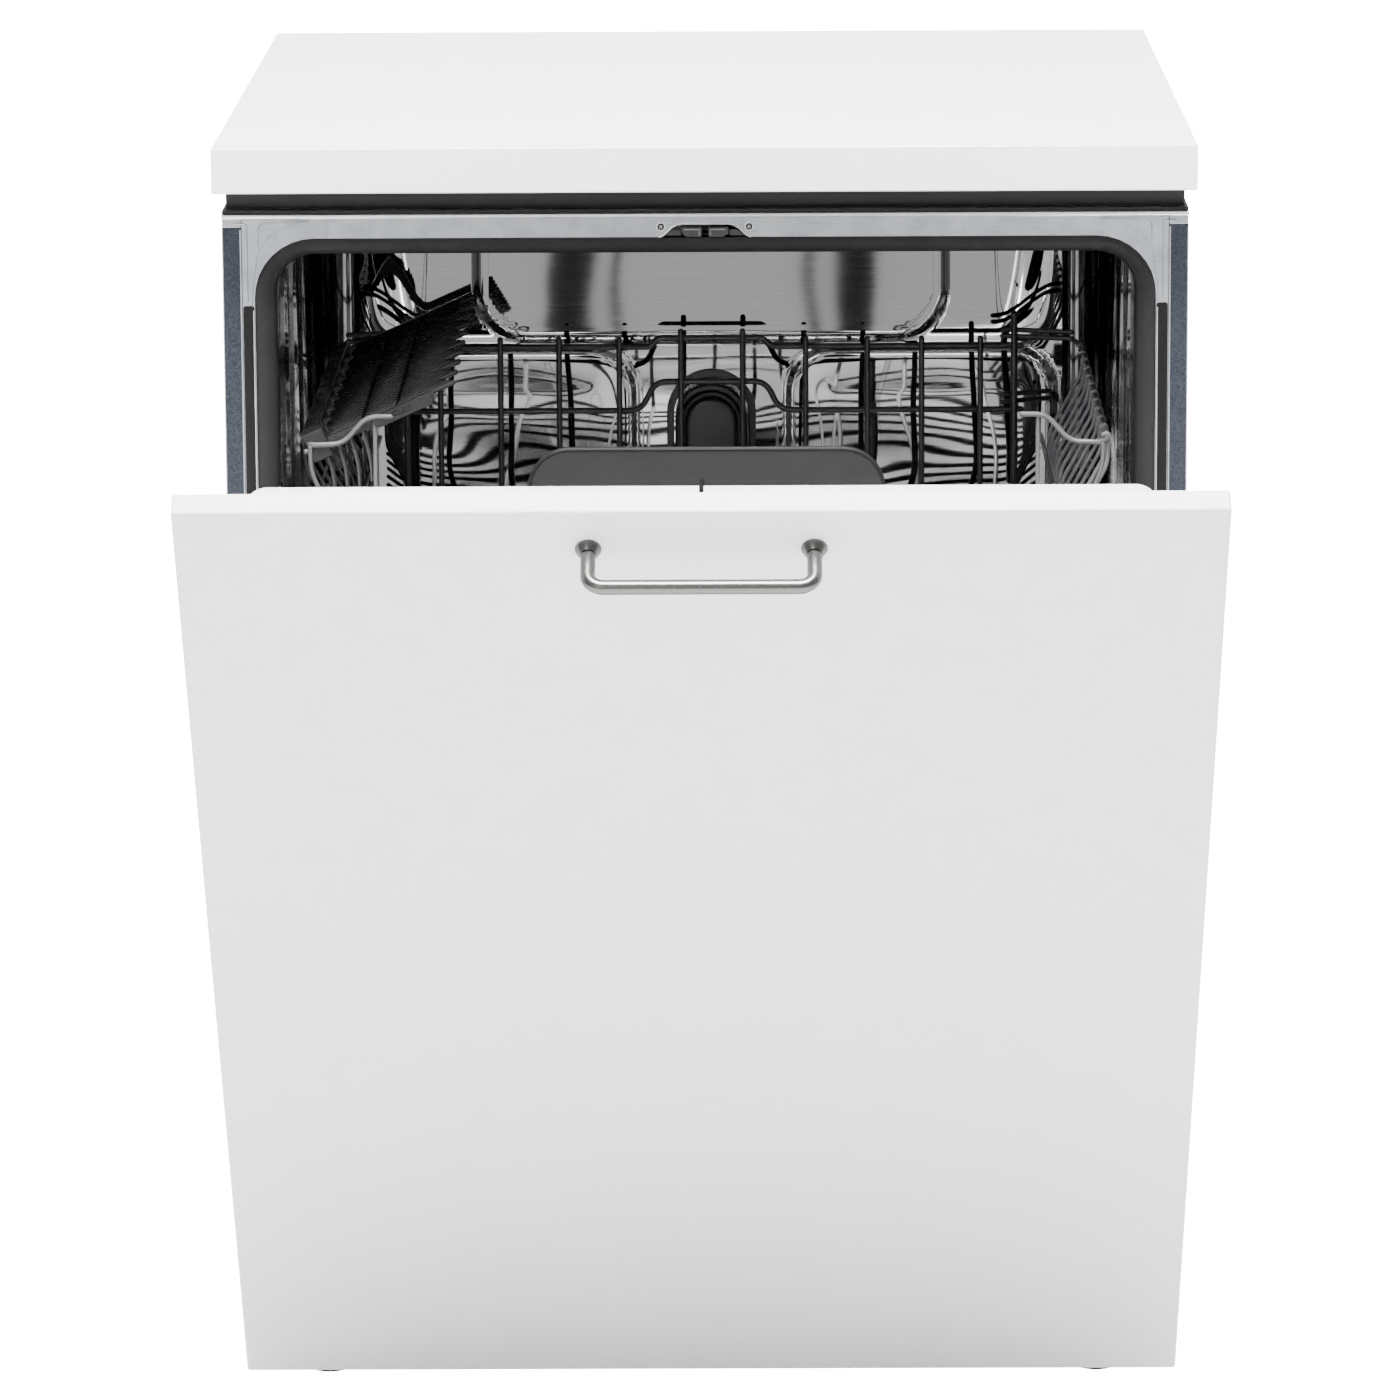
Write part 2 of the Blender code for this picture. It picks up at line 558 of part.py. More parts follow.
PALETTE = {
    "stainless": ((0.62, 0.63, 0.64), 1.0, 0.25),
    "galvanised": ((0.55, 0.57, 0.58), 0.9, 0.4),
    "dark_galvanised": ((0.18, 0.20, 0.22), 0.8, 0.45),
    "seal_rubber": ((0.04, 0.04, 0.045), 0.0, 0.7),
    "black_plastic": ((0.03, 0.03, 0.03), 0.0, 0.5),
    "dark_plastic": ((0.08, 0.08, 0.09), 0.0, 0.5),
    "grey_plastic": ((0.35, 0.36, 0.38), 0.0, 0.45),
    "clear_grey_plastic": ((0.5, 0.5, 0.48), 0.0, 0.5),
    "light_plastic": ((0.75, 0.75, 0.75), 0.0, 0.4),
    "button_plastic": ((0.55, 0.56, 0.58), 0.0, 0.4),
    "white_plastic": ((0.8, 0.8, 0.8), 0.0, 0.4),
    "white_laminate": ((0.86, 0.86, 0.86), 0.0, 0.45),
    "front_laminate": ((0.83, 0.83, 0.83), 0.0, 0.45),
    "brushed_nickel": ((0.62, 0.61, 0.58), 1.0, 0.3),
    "chrome_steel": ((0.6, 0.6, 0.6), 1.0, 0.15),
    "grey_coated_wire": ((0.30, 0.31, 0.33), 0.0, 0.4),
    "cast_weight": ((0.2, 0.2, 0.2), 0.3, 0.8),
}


def main():
    for obj in list(bpy.data.objects):
        bpy.data.objects.remove(obj)
    for name, (rgb, metallic, roughness) in PALETTE.items():
        MATERIALS[name] = material(name, rgb, metallic, roughness)
    make_tub()
    make_front_frame()
    make_outer_panels()
    make_base()
    make_connections()
    make_latch()
    make_hinge_brackets()
    make_feet()
    make_wash_system()
    make_door()
    make_hinge_arms()
    make_dispenser()
    make_front_panel()
    make_upper_basket()
    make_lower_basket()


main()
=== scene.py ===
"""Looks of the built-in dishwasher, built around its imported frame.

Helpers take millimetres: X to the right, Y back from the front frame's plane, Z up from
the floor. A shape is a pair: the list of its corners and the list of its faces. Where a
shape is taken, a list of shapes is taken too.
"""

import math

import bmesh
import bpy
from mathutils import Matrix, Vector, noise


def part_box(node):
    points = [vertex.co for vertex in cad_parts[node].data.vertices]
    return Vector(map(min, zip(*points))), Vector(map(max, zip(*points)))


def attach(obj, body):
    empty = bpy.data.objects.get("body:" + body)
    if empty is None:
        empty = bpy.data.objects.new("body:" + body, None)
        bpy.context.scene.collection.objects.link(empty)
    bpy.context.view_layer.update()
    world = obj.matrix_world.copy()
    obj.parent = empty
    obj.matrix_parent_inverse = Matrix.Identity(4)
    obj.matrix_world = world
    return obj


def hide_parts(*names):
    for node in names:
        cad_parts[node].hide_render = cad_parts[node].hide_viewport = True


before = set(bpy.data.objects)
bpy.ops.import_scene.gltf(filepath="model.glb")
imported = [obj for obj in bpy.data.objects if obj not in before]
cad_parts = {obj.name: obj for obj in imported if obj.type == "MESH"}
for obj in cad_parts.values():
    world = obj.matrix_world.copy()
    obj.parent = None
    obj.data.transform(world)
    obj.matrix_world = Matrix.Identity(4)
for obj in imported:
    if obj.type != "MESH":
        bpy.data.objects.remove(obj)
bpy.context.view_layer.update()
FRAME_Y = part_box("front_frame")[0][1] * 1000.0
MM = 0.001

DOOR_OPEN = 36.0
HINGE_Y = -8.0
HINGE_Z = 148.0
PANEL_SLIDE = 35.0

TUB_HALF = 272.0
TUB_LOW = 160.0
FRAME_TOP = 801.2
TUB_TOP = 786.0
TUB_FRONT = 16.3
TUB_BACK = 540.0
BACK_ROUND = 28.0


# --------------------- shapes in mm

def polar(r, degrees, centre=(0.0, 0.0)):
    a = math.radians(degrees)
    return centre[0] + r * math.cos(a), centre[1] + r * math.sin(a)


def arc(cx, cy, r, start, end, n):
    return [polar(r, start + (end - start) * i / n, (cx, cy)) for i in range(n + 1)]


def circle(cx, cy, r, n=32):
    return arc(cx, cy, r, 0, 360, n)[:-1]


def rounded(x0, x1, z0, z1, r, n=8):
    """Rectangle with round corners."""
    points = []
    corners = ((x1 - r, z1 - r, 0), (x0 + r, z1 - r, 90), (x0 + r, z0 + r, 180), (x1 - r, z0 + r, 270))
    for cx, cz, start in corners:
        points += arc(cx, cz, r, start, start + 90, n)
    return points


def sided(side, points):
    """Points given for the right side, mirrored when side is -1."""
    return [(side * p[0], *p[1:]) for p in points]


def filleted(points, r, n=6, closed=False):
    """Path with each inner corner rounded off."""
    points = [Vector(p) for p in points]
    count = len(points)
    out = []
    for i, p in enumerate(points):
        if not closed and i in (0, count - 1):
            out.append(tuple(p))
            continue
        a = points[i - 1] - p
        b = points[(i + 1) % count] - p
        back = min(r, a.length * 0.49, b.length * 0.49)
        start = p + a.normalized() * back
        end = p + b.normalized() * back
        for k in range(n + 1):
            t = k / n
            q = start * (1 - t) ** 2 + p * (2 * t * (1 - t)) + end * t ** 2
            out.append(tuple(q))
    return out


def place(point, along, axis):
    """Point of an outline that stands at a distance along an axis."""
    u, v = point
    return {"X": (along, u, v), "Y": (u, along, v), "Z": (u, v, along)}[axis]


def loft(rings, caps=True, closed=False):
    """Skin over rings of equal count; a closed one joins the last ring to the first."""
    n = len(rings[0])
    m = len(rings)
    verts = [p for ring in rings for p in ring]
    faces = []
    for k in range(m if closed else m - 1):
        q = (k + 1) % m
        for i in range(n):
            j = (i + 1) % n
            faces.append((k * n + i, k * n + j, q * n + j, q * n + i))
    if caps and not closed:
        faces.append(tuple(range(n)))
        last = (m - 1) * n
        faces.append(tuple(last + i for i in reversed(range(n))))
    return verts, faces


def ring_loft(rings):
    return loft(rings, closed=True)


def prism(outline, axis, lo, hi):
    return loft([[place(p, lo, axis) for p in outline], [place(p, hi, axis) for p in outline]])


def block(x0, x1, y0, y1, z0, z1):
    return prism([(x0, y0), (x1, y0), (x1, y1), (x0, y1)], "Z", z0, z1)


def pipe_prism(outer, inner, axis, lo, hi):
    """Prism with a hole through it."""
    rings = []
    for outline, along in ((outer, lo), (outer, hi), (inner, hi), (inner, lo)):
        rings.append([place(p, along, axis) for p in outline])
    return ring_loft(rings)


def turned(profile, axis, centre, n=48, hollow=False):
    """Turned part; the profile lists radius and distance along the axis."""
    rings = []
    for r, along in profile:
        rings.append([place(p, along, axis) for p in circle(centre[0], centre[1], r, n)])
    return ring_loft(rings) if hollow else loft(rings)


def wire(path, r, n=10, round_ends=True):
    """Round wire with domed ends."""
    points = [Vector(p) for p in path]
    tangents = []
    for i in range(len(points)):
        a = points[max(i - 1, 0)]
        b = points[min(i + 1, len(points) - 1)]
        tangents.append((b - a).normalized())
    side = tangents[0].orthogonal().normalized()
    frames = []
    for p, t in zip(points, tangents):
        side = (side - t * side.dot(t)).normalized()
        frames.append((p, t, side, t.cross(side)))
    stations = [(f, 0.0, 1.0) for f in frames]
    if round_ends:
        dome = ((0.95, 0.3), (0.75, 0.66), (0.4, 0.92))
        stations = [(frames[0], -h * r, w) for h, w in dome] + stations
        stations += [(frames[-1], h * r, w) for h, w in reversed(dome)]
    rings = []
    for (p, t, u, v), shift, scale in stations:
        ring = []
        for k in range(n):
            a = 2.0 * math.pi * k / n
            ring.append(tuple(p + t * shift + (u * math.cos(a) + v * math.sin(a)) * (r * scale)))
        rings.append(ring)
    return loft(rings)


def bent(points, turn, steps, r, n=10):
    """Wire of radius r whose corners are rounded by the length turn."""
    return wire(filleted(points, turn, steps), r, n)


def joined(shape):
    """One shape out of a list of shapes; a single shape stays as it is."""
    if not isinstance(shape, list):
        return shape
    verts = []
    faces = []
    for v, f in shape:
        start = len(verts)
        verts += v
        faces += [tuple(i + start for i in face) for face in f]
    return verts, faces


# --------------------- pieces

# Slots and looks that often go together.
GREY = ("grey_plastic", "mid_grey")
PALE = ("light_plastic", "pale_grey")
DARK_WIRE = ("coated_wire", "wire_dark")
ZINC = ("galvanised", "frame_zinc")

TURN = Matrix.Rotation(math.radians(DOOR_OPEN), 4, "X")
HINGE = Vector((0.0, HINGE_Y, HINGE_Z))


def on_door(shape, lift=0.0):
    """Turns a shape modelled on the shut door to the stored opening."""
    up = TURN @ Vector((0.0, 0.0, lift))
    verts, faces = joined(shape)
    return [tuple(HINGE + up + TURN @ (Vector(v) - HINGE)) for v in verts], faces


def on_panel(shape):
    """The front panel also climbs along the door as the door opens."""
    return on_door(shape, PANEL_SLIDE * math.radians(DOOR_OPEN))


def solid(name, shape):
    """New object made from a shape, with its faces turned outwards."""
    mesh = bpy.data.meshes.new(name)
    verts, faces = joined(shape)
    mesh.from_pydata([(x * MM, (y + FRAME_Y) * MM, z * MM) for x, y, z in verts], [], faces)
    work = bmesh.new()
    work.from_mesh(mesh)
    bmesh.ops.recalc_face_normals(work, faces=work.faces)
    work.to_mesh(mesh)
    work.free()
    obj = bpy.data.objects.new(name, mesh)
    bpy.context.scene.collection.objects.link(obj)
    return obj


def piece(name, shape, body, slot, mat, hides=(), bevel=0.0, segments=2, angle=30.0):
    """Named piece that rides on a body and may stand in for nodes of the frame."""
    obj = solid(name, shape)
    mesh = obj.data
    mesh.materials.append(MATS[mat])
    for polygon in mesh.polygons:
        polygon.use_smooth = True
    if bevel:
        step = obj.modifiers.new("edges", "BEVEL")
        step.width = bevel * MM
        step.segments = segments
        step.limit_method = "ANGLE"
        step.angle_limit = math.radians(angle)
        step.harden_normals = True
    else:
        mesh.set_sharp_from_angle(angle=math.radians(angle))
    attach(obj, body)
    if hides:
        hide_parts(*hides)
    return obj


def cut(obj, shapes):
    """Takes shapes out of a piece before its bevel."""
    for shape in shapes:
        tool = solid("cut", shape)
        step = obj.modifiers.new("cut", "BOOLEAN")
        step.operation = "DIFFERENCE"
        step.solver = "EXACT"
        step.object = tool
        bpy.context.view_layer.update()
        later = [m for m in obj.modifiers if m != step]
        for m in later:
            m.show_viewport = False
        graph = bpy.context.evaluated_depsgraph_get()
        result = bpy.data.meshes.new_from_object(obj.evaluated_get(graph))
        obj.modifiers.remove(step)
        for m in later:
            m.show_viewport = True
        obj.data = result
        bpy.data.objects.remove(tool)


# --------------------- materials

MATS = {}


class Nodes:
    """A node tree with short calls for its nodes."""

    def __init__(self, tree):
        self.tree = tree

    def add(self, kind, **values):
        """New node; a value sets a property of the node, or else the input of that name."""
        node = self.tree.nodes.new(kind)
        for key, value in values.items():
            if hasattr(node, key):
                setattr(node, key, value)
            else:
                node.inputs[key.replace("_", " ")].default_value = value
        return node

    def link(self, a, b):
        self.tree.links.new(a, b)

    def calculate(self, operation, *values):
        """Result of a maths node; a value is a number or another node's output."""
        node = self.add("ShaderNodeMath", operation=operation)
        for socket, value in zip(node.inputs, values):
            if isinstance(value, float):
                socket.default_value = value
            else:
                self.link(value, socket)
        return node.outputs["Value"]

    def ramp(self, value, stops):
        """Colour ramp; its stops are listed from low to high."""
        node = self.add("ShaderNodeValToRGB")
        elements = node.color_ramp.elements
        elements.remove(elements[1])
        elements[0].position = stops[0][0]
        elements[0].color = (*stops[0][1], 1.0)
        for at, rgb in stops[1:]:
            elements.new(at).color = (*rgb, 1.0)
        self.link(value, node.inputs["Fac"])
        return node.outputs["Color"]


class Material(Nodes):
    """A new material and its surface shader."""

    def __init__(self, name):
        material = bpy.data.materials.new(name)
        material.use_nodes = True
        super().__init__(material.node_tree)
        self.bsdf = self.tree.nodes["Principled BSDF"]
        MATS[name] = material

    def coords(self, scale=(1, 1, 1)):
        where = self.add("ShaderNodeTexCoord")
        mapping = self.add("ShaderNodeMapping", Scale=scale)
        self.link(where.outputs["Object"], mapping.inputs["Vector"])
        return mapping.outputs["Vector"]

    def noise(self, vector, scale, detail=3.0, roughness=0.5):
        node = self.add("ShaderNodeTexNoise", Scale=scale, Detail=detail, Roughness=roughness)
        self.link(vector, node.inputs["Vector"])
        return node.outputs["Fac"]

    def cells(self, vector, scale):
        node = self.add("ShaderNodeTexVoronoi", Scale=scale)
        self.link(vector, node.inputs["Vector"])
        return node.outputs["Color"]

    def blend(self, a, b, factor):
        node = self.add("ShaderNodeMix", data_type="FLOAT", Factor=factor)
        self.link(a, node.inputs["A"])
        self.link(b, node.inputs["B"])
        return node.outputs["Result"]

    def surface(self, tone, dark, light, reach, smooth, rough):
        """Colour and roughness follow one pattern; reach is half the ramp's width."""
        stops = ((0.5 - reach, dark), (0.5 + reach, light))
        self.link(self.ramp(tone, stops), self.bsdf.inputs["Base Color"])
        node = self.add("ShaderNodeMapRange", To_Min=smooth, To_Max=rough)
        self.link(tone, node.inputs["Value"])
        self.link(node.outputs["Result"], self.bsdf.inputs["Roughness"])

    def bump(self, height, strength, distance):
        node = self.add("ShaderNodeBump", Strength=strength, Distance=distance)
        self.link(height, node.inputs["Height"])
        self.link(node.outputs["Normal"], self.bsdf.inputs["Normal"])

    def put(self, **values):
        for key, value in values.items():
            self.bsdf.inputs[key.replace("_", " ")].default_value = value


def grey(v, tint=(1.0, 1.0, 1.0)):
    return tuple(v * t for t in tint)


def shades(rgb, spread):
    """A little darker and a little lighter than a colour."""
    return tuple(c * (1.0 - spread) for c in rgb), tuple(min(c * (1.0 + spread), 1.0) for c in rgb)


def plastic(name, rgb, rough, grain=2500.0, depth=0.00003, spread=0.06, specular=0.5):
    """Moulded plastic: fine spark-eroded grain and faint mottling."""
    m = Material(name)
    v = m.coords()
    m.surface(m.noise(v, 45.0, 4.0), *shades(rgb, spread), 0.15, rough - 0.04, rough + 0.05)
    m.bump(m.noise(v, grain, 2.0), 0.5, depth)
    m.put(Specular_IOR_Level=specular)
    return m


def metal(name, rgb, rough, stretch, scale, depth=0.00001, spread=0.05, aniso=0.0, wobble=0.0):
    """Rolled or brushed metal: streaks along one direction, and wide waves where wobble is given."""
    m = Material(name)
    streak = m.noise(m.coords(stretch), scale, 3.0)
    m.surface(streak, *shades(rgb, spread), 0.2, rough * 0.8, rough * 1.25)
    height = streak
    if wobble:
        height = m.calculate("MULTIPLY_ADD", m.noise(m.coords(), wobble, 1.0), 6.0, streak)
    m.bump(height, 0.6, depth)
    m.put(Metallic=1.0, Anisotropic=aniso)


def zinc(name, dark, light, scale, rough):
    """Galvanised sheet with its spangle."""
    m = Material(name)
    v = m.coords()
    fine = m.noise(v, scale * 5.0, 5.0, 0.7)
    m.surface(m.blend(m.cells(v, scale), fine, 0.45), dark, light, 0.25, rough - 0.08, rough + 0.12)
    m.bump(fine, 0.3, 0.00002)
    m.put(Metallic=0.85)


def rolled_zinc(name, dark, light, rough):
    """Zinc-coated sheet with a fine rolled streak and faint mottling."""
    m = Material(name)
    streak = m.noise(m.coords((0.5, 1, 8)), 160.0, 4.0)
    mottle = m.noise(m.coords(), 70.0, 4.0, 0.6)
    m.surface(m.blend(streak, mottle, 0.6), dark, light, 0.12, rough - 0.06, rough + 0.08)
    m.bump(m.noise(m.coords(), 900.0, 3.0), 0.3, 0.00002)
    m.put(Metallic=0.8)


PLAIN = (1.0, 1.0, 1.0)
COOL = (1.0, 1.0, 1.03)

# Greys: level, tint, roughness, grain scale, grain depth in metres, mottling, specular level.
GREYS = {
    "front_laminate": (0.70, PLAIN, 0.5, 1100.0, 0.00002, 0.012, 0.3),
    "seal": (0.010, (1.0, 1.0, 1.05), 0.5, 1800.0, 0.00004, 0.1, 0.22),
    "gloss_black": (0.004, PLAIN, 0.16, 1400.0, 0.00001, 0.1, 0.22),
    "black": (0.009, PLAIN, 0.34, 2200.0, 0.00003, 0.1, 0.35),
    "matt_black": (0.006, PLAIN, 0.9, 2200.0, 0.00002, 0.1, 0.04),
    "base_black": (0.022, PLAIN, 0.5, 1500.0, 0.00005, 0.1),
    "dark": (0.026, COOL, 0.34, 2600.0, 0.00002, 0.08, 0.4),
    "gloss_dark": (0.018, PLAIN, 0.17, 1600.0, 0.000008, 0.1),
    "shelf_black": (0.019, PLAIN, 0.26, 2200.0, 0.00002, 0.1, 0.4),
    "plate_dark": (0.0115, COOL, 0.5, 2600.0, 0.00003, 0.05, 0.3),
    "mid_grey": (0.24, (1.0, 1.01, 1.04), 0.4, 2400.0, 0.00002),
    "pale_grey": (0.62, PLAIN, 0.4, 2400.0, 0.00002, 0.03),
    "white": (0.78, PLAIN, 0.38, 2200.0, 0.00002, 0.03),
    "wire_dark": (0.035, (1.0, 1.02, 1.08), 0.34, 900.0, 0.00002, 0.1),
    # The next two are lighter copies of the coated wire's dark grey: painted light where the front wires
    # and the right-hand ribs are lit.
    "wire_light": (0.088, (1.0, 1.01, 1.03), 0.38, 900.0, 0.00002),
    "wire_mid": (0.185, (1.0, 1.01, 1.03), 0.34, 900.0, 0.00002),
    "cast": (0.12, PLAIN, 0.85, 350.0, 0.0006, 0.25),
    "floor": (0.9, PLAIN, 0.8, 300.0, 0.00001, 0.004),
}


def make_materials():
    laminate = plastic("worktop_laminate", grey(0.86), 0.42, 900.0, 0.00002, 0.012)
    laminate.put(Coat_Weight=0.06, Coat_Roughness=0.3)
    for name, (level, tint, *rest) in GREYS.items():
        plastic(name, grey(level, tint), *rest)
    plastic("tank", (0.52, 0.52, 0.48), 0.45, 900.0)
    window = plastic("window", grey(0.012), 0.12, 400.0, 0.000002)
    window.put(Coat_Weight=0.5)
    metal("nickel", (0.118, 0.116, 0.112), 0.28, (1, 12, 12), 420.0, 0.00001, 0.1, 0.3)
    metal("tub_steel", (0.57, 0.563, 0.56), 0.02, (0.4, 14, 14), 60.0, 0.000002, 0.04, 0.0, 4.0)
    # The tub walls' steel is a much darker copy of the back wall's steel: painted shade on the walls.
    metal("wall_steel_painted_shade", (0.15, 0.15, 0.155), 0.07, (1, 1, 0.05), 90.0, 0.00003, 0.25, 0.0, 4.0)
    metal("liner_steel", (0.60, 0.60, 0.59), 0.16, (0.4, 10, 10), 90.0, 0.00001, 0.04)
    metal("bright_wire", (0.68, 0.67, 0.65), 0.12, (3, 3, 3), 300.0)
    rolled_zinc("frame_zinc", (0.31, 0.325, 0.35), (0.43, 0.445, 0.47), 0.36)
    # A much lighter copy of the frame's zinc: painted highlight on rolled edges, rivet rings and thin
    # lines.
    rolled_zinc("zinc_painted_highlight", (0.66, 0.67, 0.69), (0.80, 0.81, 0.83), 0.3)
    zinc("side_zinc", (0.023, 0.027, 0.036), (0.051, 0.057, 0.071), 1100.0, 0.5)


CAD_LOOKS = {
    "frame_zinc": ("worktop_bracket_left", "worktop_bracket_right", "hinge_bracket_left",
                   "hinge_bracket_right", "hinge_arm_left", "hinge_arm_right"),
    "side_zinc": ("side_panel_left", "side_panel_right", "back_panel", "door_skin"),
    "black": ("power_inlet",),
    "base_black": ("base_tray",),
    "mid_grey": ("sump", "drain_outlet"),
    "dark": ("circulation_pump", "drain_pump"),
    "tank": ("water_softener",),
    "white": ("water_inlet",),
    "cast": ("counterweight",),
    "liner_steel": ("basket_rail_left", "basket_rail_right"),
}


def dress_cad():
    for mat, names in CAD_LOOKS.items():
        for name in names:
            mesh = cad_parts[name].data
            mesh.materials.clear()
            mesh.materials.append(MATS[mat])


# --------------------- cabinet

def make_worktop():
    top = block(-302, 302, -39, 596, 820, 848)
    piece("worktop_slab", top, "cabinet", "white_laminate", "worktop_laminate", ("worktop",), bevel=0.9,
        segments=3)


def ridge(d, half):
    """Smooth bump over a line at distance d."""
    return math.cos(min(abs(d) / half, 1.0) * math.pi / 2) ** 2


def box_distance(x, z, x0, x1, z0, z1, r):
    cx, cz = (x0 + x1) / 2, (z0 + z1) / 2
    qx = abs(x - cx) - (x1 - x0) / 2 + r
    qz = abs(z - cz) - (z1 - z0) / 2 + r
    return math.hypot(max(qx, 0), max(qz, 0)) + min(max(qx, qz), 0) - r


def step_up(d, width):
    t = min(max(0.5 - d / width, 0.0), 1.0)
    return t * t * (3 - 2 * t)


# Above LEAN_FROM the back wall leans back by BACK_LEAN times the height.
BACK_LEAN = 0.105
LEAN_FROM = 640.0


def back_relief(x, z):
    """Pressed panels of the tub's back wall, in mm towards the front."""
    upper = box_distance(x, z, -161, 161, 642, 830, 34)
    height = 2.0 * step_up(upper, 4.5)
    height += 1.5 * ridge(upper, 3.4)
    height -= BACK_LEAN * max(z - LEAN_FROM, 0.0) * step_up(abs(x) - 218, 40) * step_up(z - 752, 12)
    for side in (-1, 1):
        low = box_distance(side * x, z, 54, 238, 330, 633, 30)
        height += 2.6 * step_up(low, 6.5)
        if low < 0:
            across = (side * x - 144) / 94
            along = (z - 560) / 110
            height -= 1.3 * math.exp(-(across * across + along * along) * 1.3) * min(1.0, -low / 30)
    wave = noise.noise(Vector((x * 0.009, 0.0, z * 0.012)))
    ripple = noise.noise(Vector((x * 0.02, 5.0, z * 0.035)))
    calm = 1.0 - 0.93 * step_up(600.0 - z, 60)
    return height + (0.7 * wave + 0.12 * ripple) * calm


def make_tub():
    start = TUB_BACK - BACK_ROUND
    ys = [TUB_FRONT + (start - TUB_FRONT) * i / 44 for i in range(45)] + [519, 526, 531.8, 536.2, 539, 540]
    rings = []
    for y in ys:
        t = max(0.0, y - start) / BACK_ROUND
        inset = BACK_ROUND * (1 - math.sqrt(max(0.0, 1 - t * t)))
        ring = []
        x1, z0, z1 = TUB_HALF - inset, TUB_LOW + inset, TUB_TOP - inset
        r = max(25.0 - inset, 3.0)
        base = rounded(-x1, x1, z0, z1, r, 8)
        for i, (x, z) in enumerate(base):
            ring.append((x, y, z))
            nx, nz = base[(i + 1) % len(base)]
            gap = math.hypot(nx - x, nz - z)
            if gap > 60:
                upright = abs(nx - x) < 1
                for k in range(1, 40):
                    f = k / 40
                    px, pz = x + (nx - x) * f, z + (nz - z) * f
                    push = 0.0
                    if upright and 40 < y < 500:
                        for at in (100, 190, 280, 370, 460):
                            push = max(push, 2.2 * ridge(y - at, 16) * min(1.0, 4 * f, 4 * (1 - f)))
                        push += 0.35 * noise.noise(Vector((y * 0.012, pz * 0.006, 3.0)))
                    ring.append((px - math.copysign(push, px), y, pz))
        rings.append(ring)
    walls = loft(rings, caps=False)
    # The walls take the darker copy of the steel, which paints shade on them.
    obj = piece("tub_walls", walls, "cabinet", "stainless", "wall_steel_painted_shade", ("tub",), angle=60)
    step = obj.modifiers.new("sheet", "SOLIDIFY")
    step.thickness = 0.0012
    step.offset = 1.0
    x1, z0, z1 = TUB_HALF - BACK_ROUND, TUB_LOW + BACK_ROUND, TUB_TOP - BACK_ROUND
    # A fine grid, so that the mirror of the back wall bends smoothly.
    nx, nz = 190, 190
    verts = []
    for j in range(nz + 1):
        for i in range(nx + 1):
            x = -x1 + 2 * x1 * i / nx
            z = z0 + (z1 - z0) * j / nz
            verts.append((x, TUB_BACK - back_relief(x, z), z))
    faces = []
    for j in range(nz):
        for i in range(nx):
            a = j * (nx + 1) + i
            faces.append((a, a + 1, a + nx + 2, a + nx + 1))
    piece("tub_back_wall", (verts, faces), "cabinet", "stainless", "tub_steel", angle=60)


def make_front_frame():
    outer = rounded(-286.7, 286.7, 143.5, FRAME_TOP, 2.5, 8)
    inner = rounded(-279, 279, 158, 787, 37, 8)
    obj = piece("frame_sheet", pipe_prism(outer, inner, "Y", 0, 3), "cabinet", *ZINC, ("front_frame",),
        bevel=0.8)
    half = [(28.5, 783), (28.0, 787.2), (25.6, 788.4), (23.4, 790.6), (20.6, 793.2), (17.4, 794.9),
        (14.2, 795.4)]
    notch = [(-x, z) for x, z in half] + [(x, z) for x, z in reversed(half)]
    cut(obj, [prism(notch, "Y", -2, 6)])
    tabs = [block(*sorted((side * 286.9, side * 298.6)), 0, 2.9, 793.7, FRAME_TOP) for side in (-1, 1)]
    piece("frame_tabs", tabs, "cabinet", *ZINC, bevel=0.5)
    # The lips along the notch and along the frame's top take the lighter zinc copy: painted highlight.
    lip = [wire([(side * x, -0.2, z) for x, z in half[1:]], 0.7, 8) for side in (-1, 1)]
    lip.append(wire([(-14.2, -0.2, 795.4), (14.2, -0.2, 795.4)], 0.7, 8))
    lip.append(wire([(-298, 0.5, FRAME_TOP - 0.9), (298, 0.5, FRAME_TOP - 0.9)], 1.4, 12))
    piece("frame_lips", lip, "cabinet", "galvanised", "zinc_painted_highlight")
    filler = block(-297.5, 297.5, 1.2, 11.0, FRAME_TOP + 0.1, 804.4)
    piece("foam_filler", filler, "cabinet", "black_plastic", "seal", bevel=0.6)
    seal_out = rounded(-278.6, 278.6, 158.4, 786.6, 36.9, 16)
    lip_out = rounded(-276, 276, 161, 784, 34, 16)
    lip_in = rounded(-269, 269, 168, 780, 27, 16)
    seal_in = rounded(-266, 266, 171, 777, 24, 16)
    rings = []
    stack = ((seal_out, 2.0), (seal_out, 0.3), (lip_out, -0.6), (lip_in, 0.2), (seal_in, 4.0),
        (seal_in, 15.8), (seal_out, 15.8))
    for outline, y in stack:
        rings.append([place(p, y, "Y") for p in outline])
    piece("door_seal", ring_loft(rings), "cabinet", "seal_rubber", "seal", ("door_gasket",), angle=50)
    strips = []
    for side in (-1, 1):
        lo, hi = sorted((side * 279.4, side * 286.4))
        strips.append(prism(rounded(lo, hi, 170, 745, 1.5, 4), "Y", -0.65, -0.05))
    piece("edge_strips", strips, "cabinet", "seal_rubber", "gloss_black", bevel=0.25)
    # Thin light lines along the black strips: painted highlight stripes.
    lines = [wire([(side * 279.9, -0.9, 172), (side * 279.9, -0.9, 742)], 0.35, 6) for side in (-1, 1)]
    piece("edge_strip_painted_highlights", lines, "cabinet", "seal_rubber", "zinc_painted_highlight")


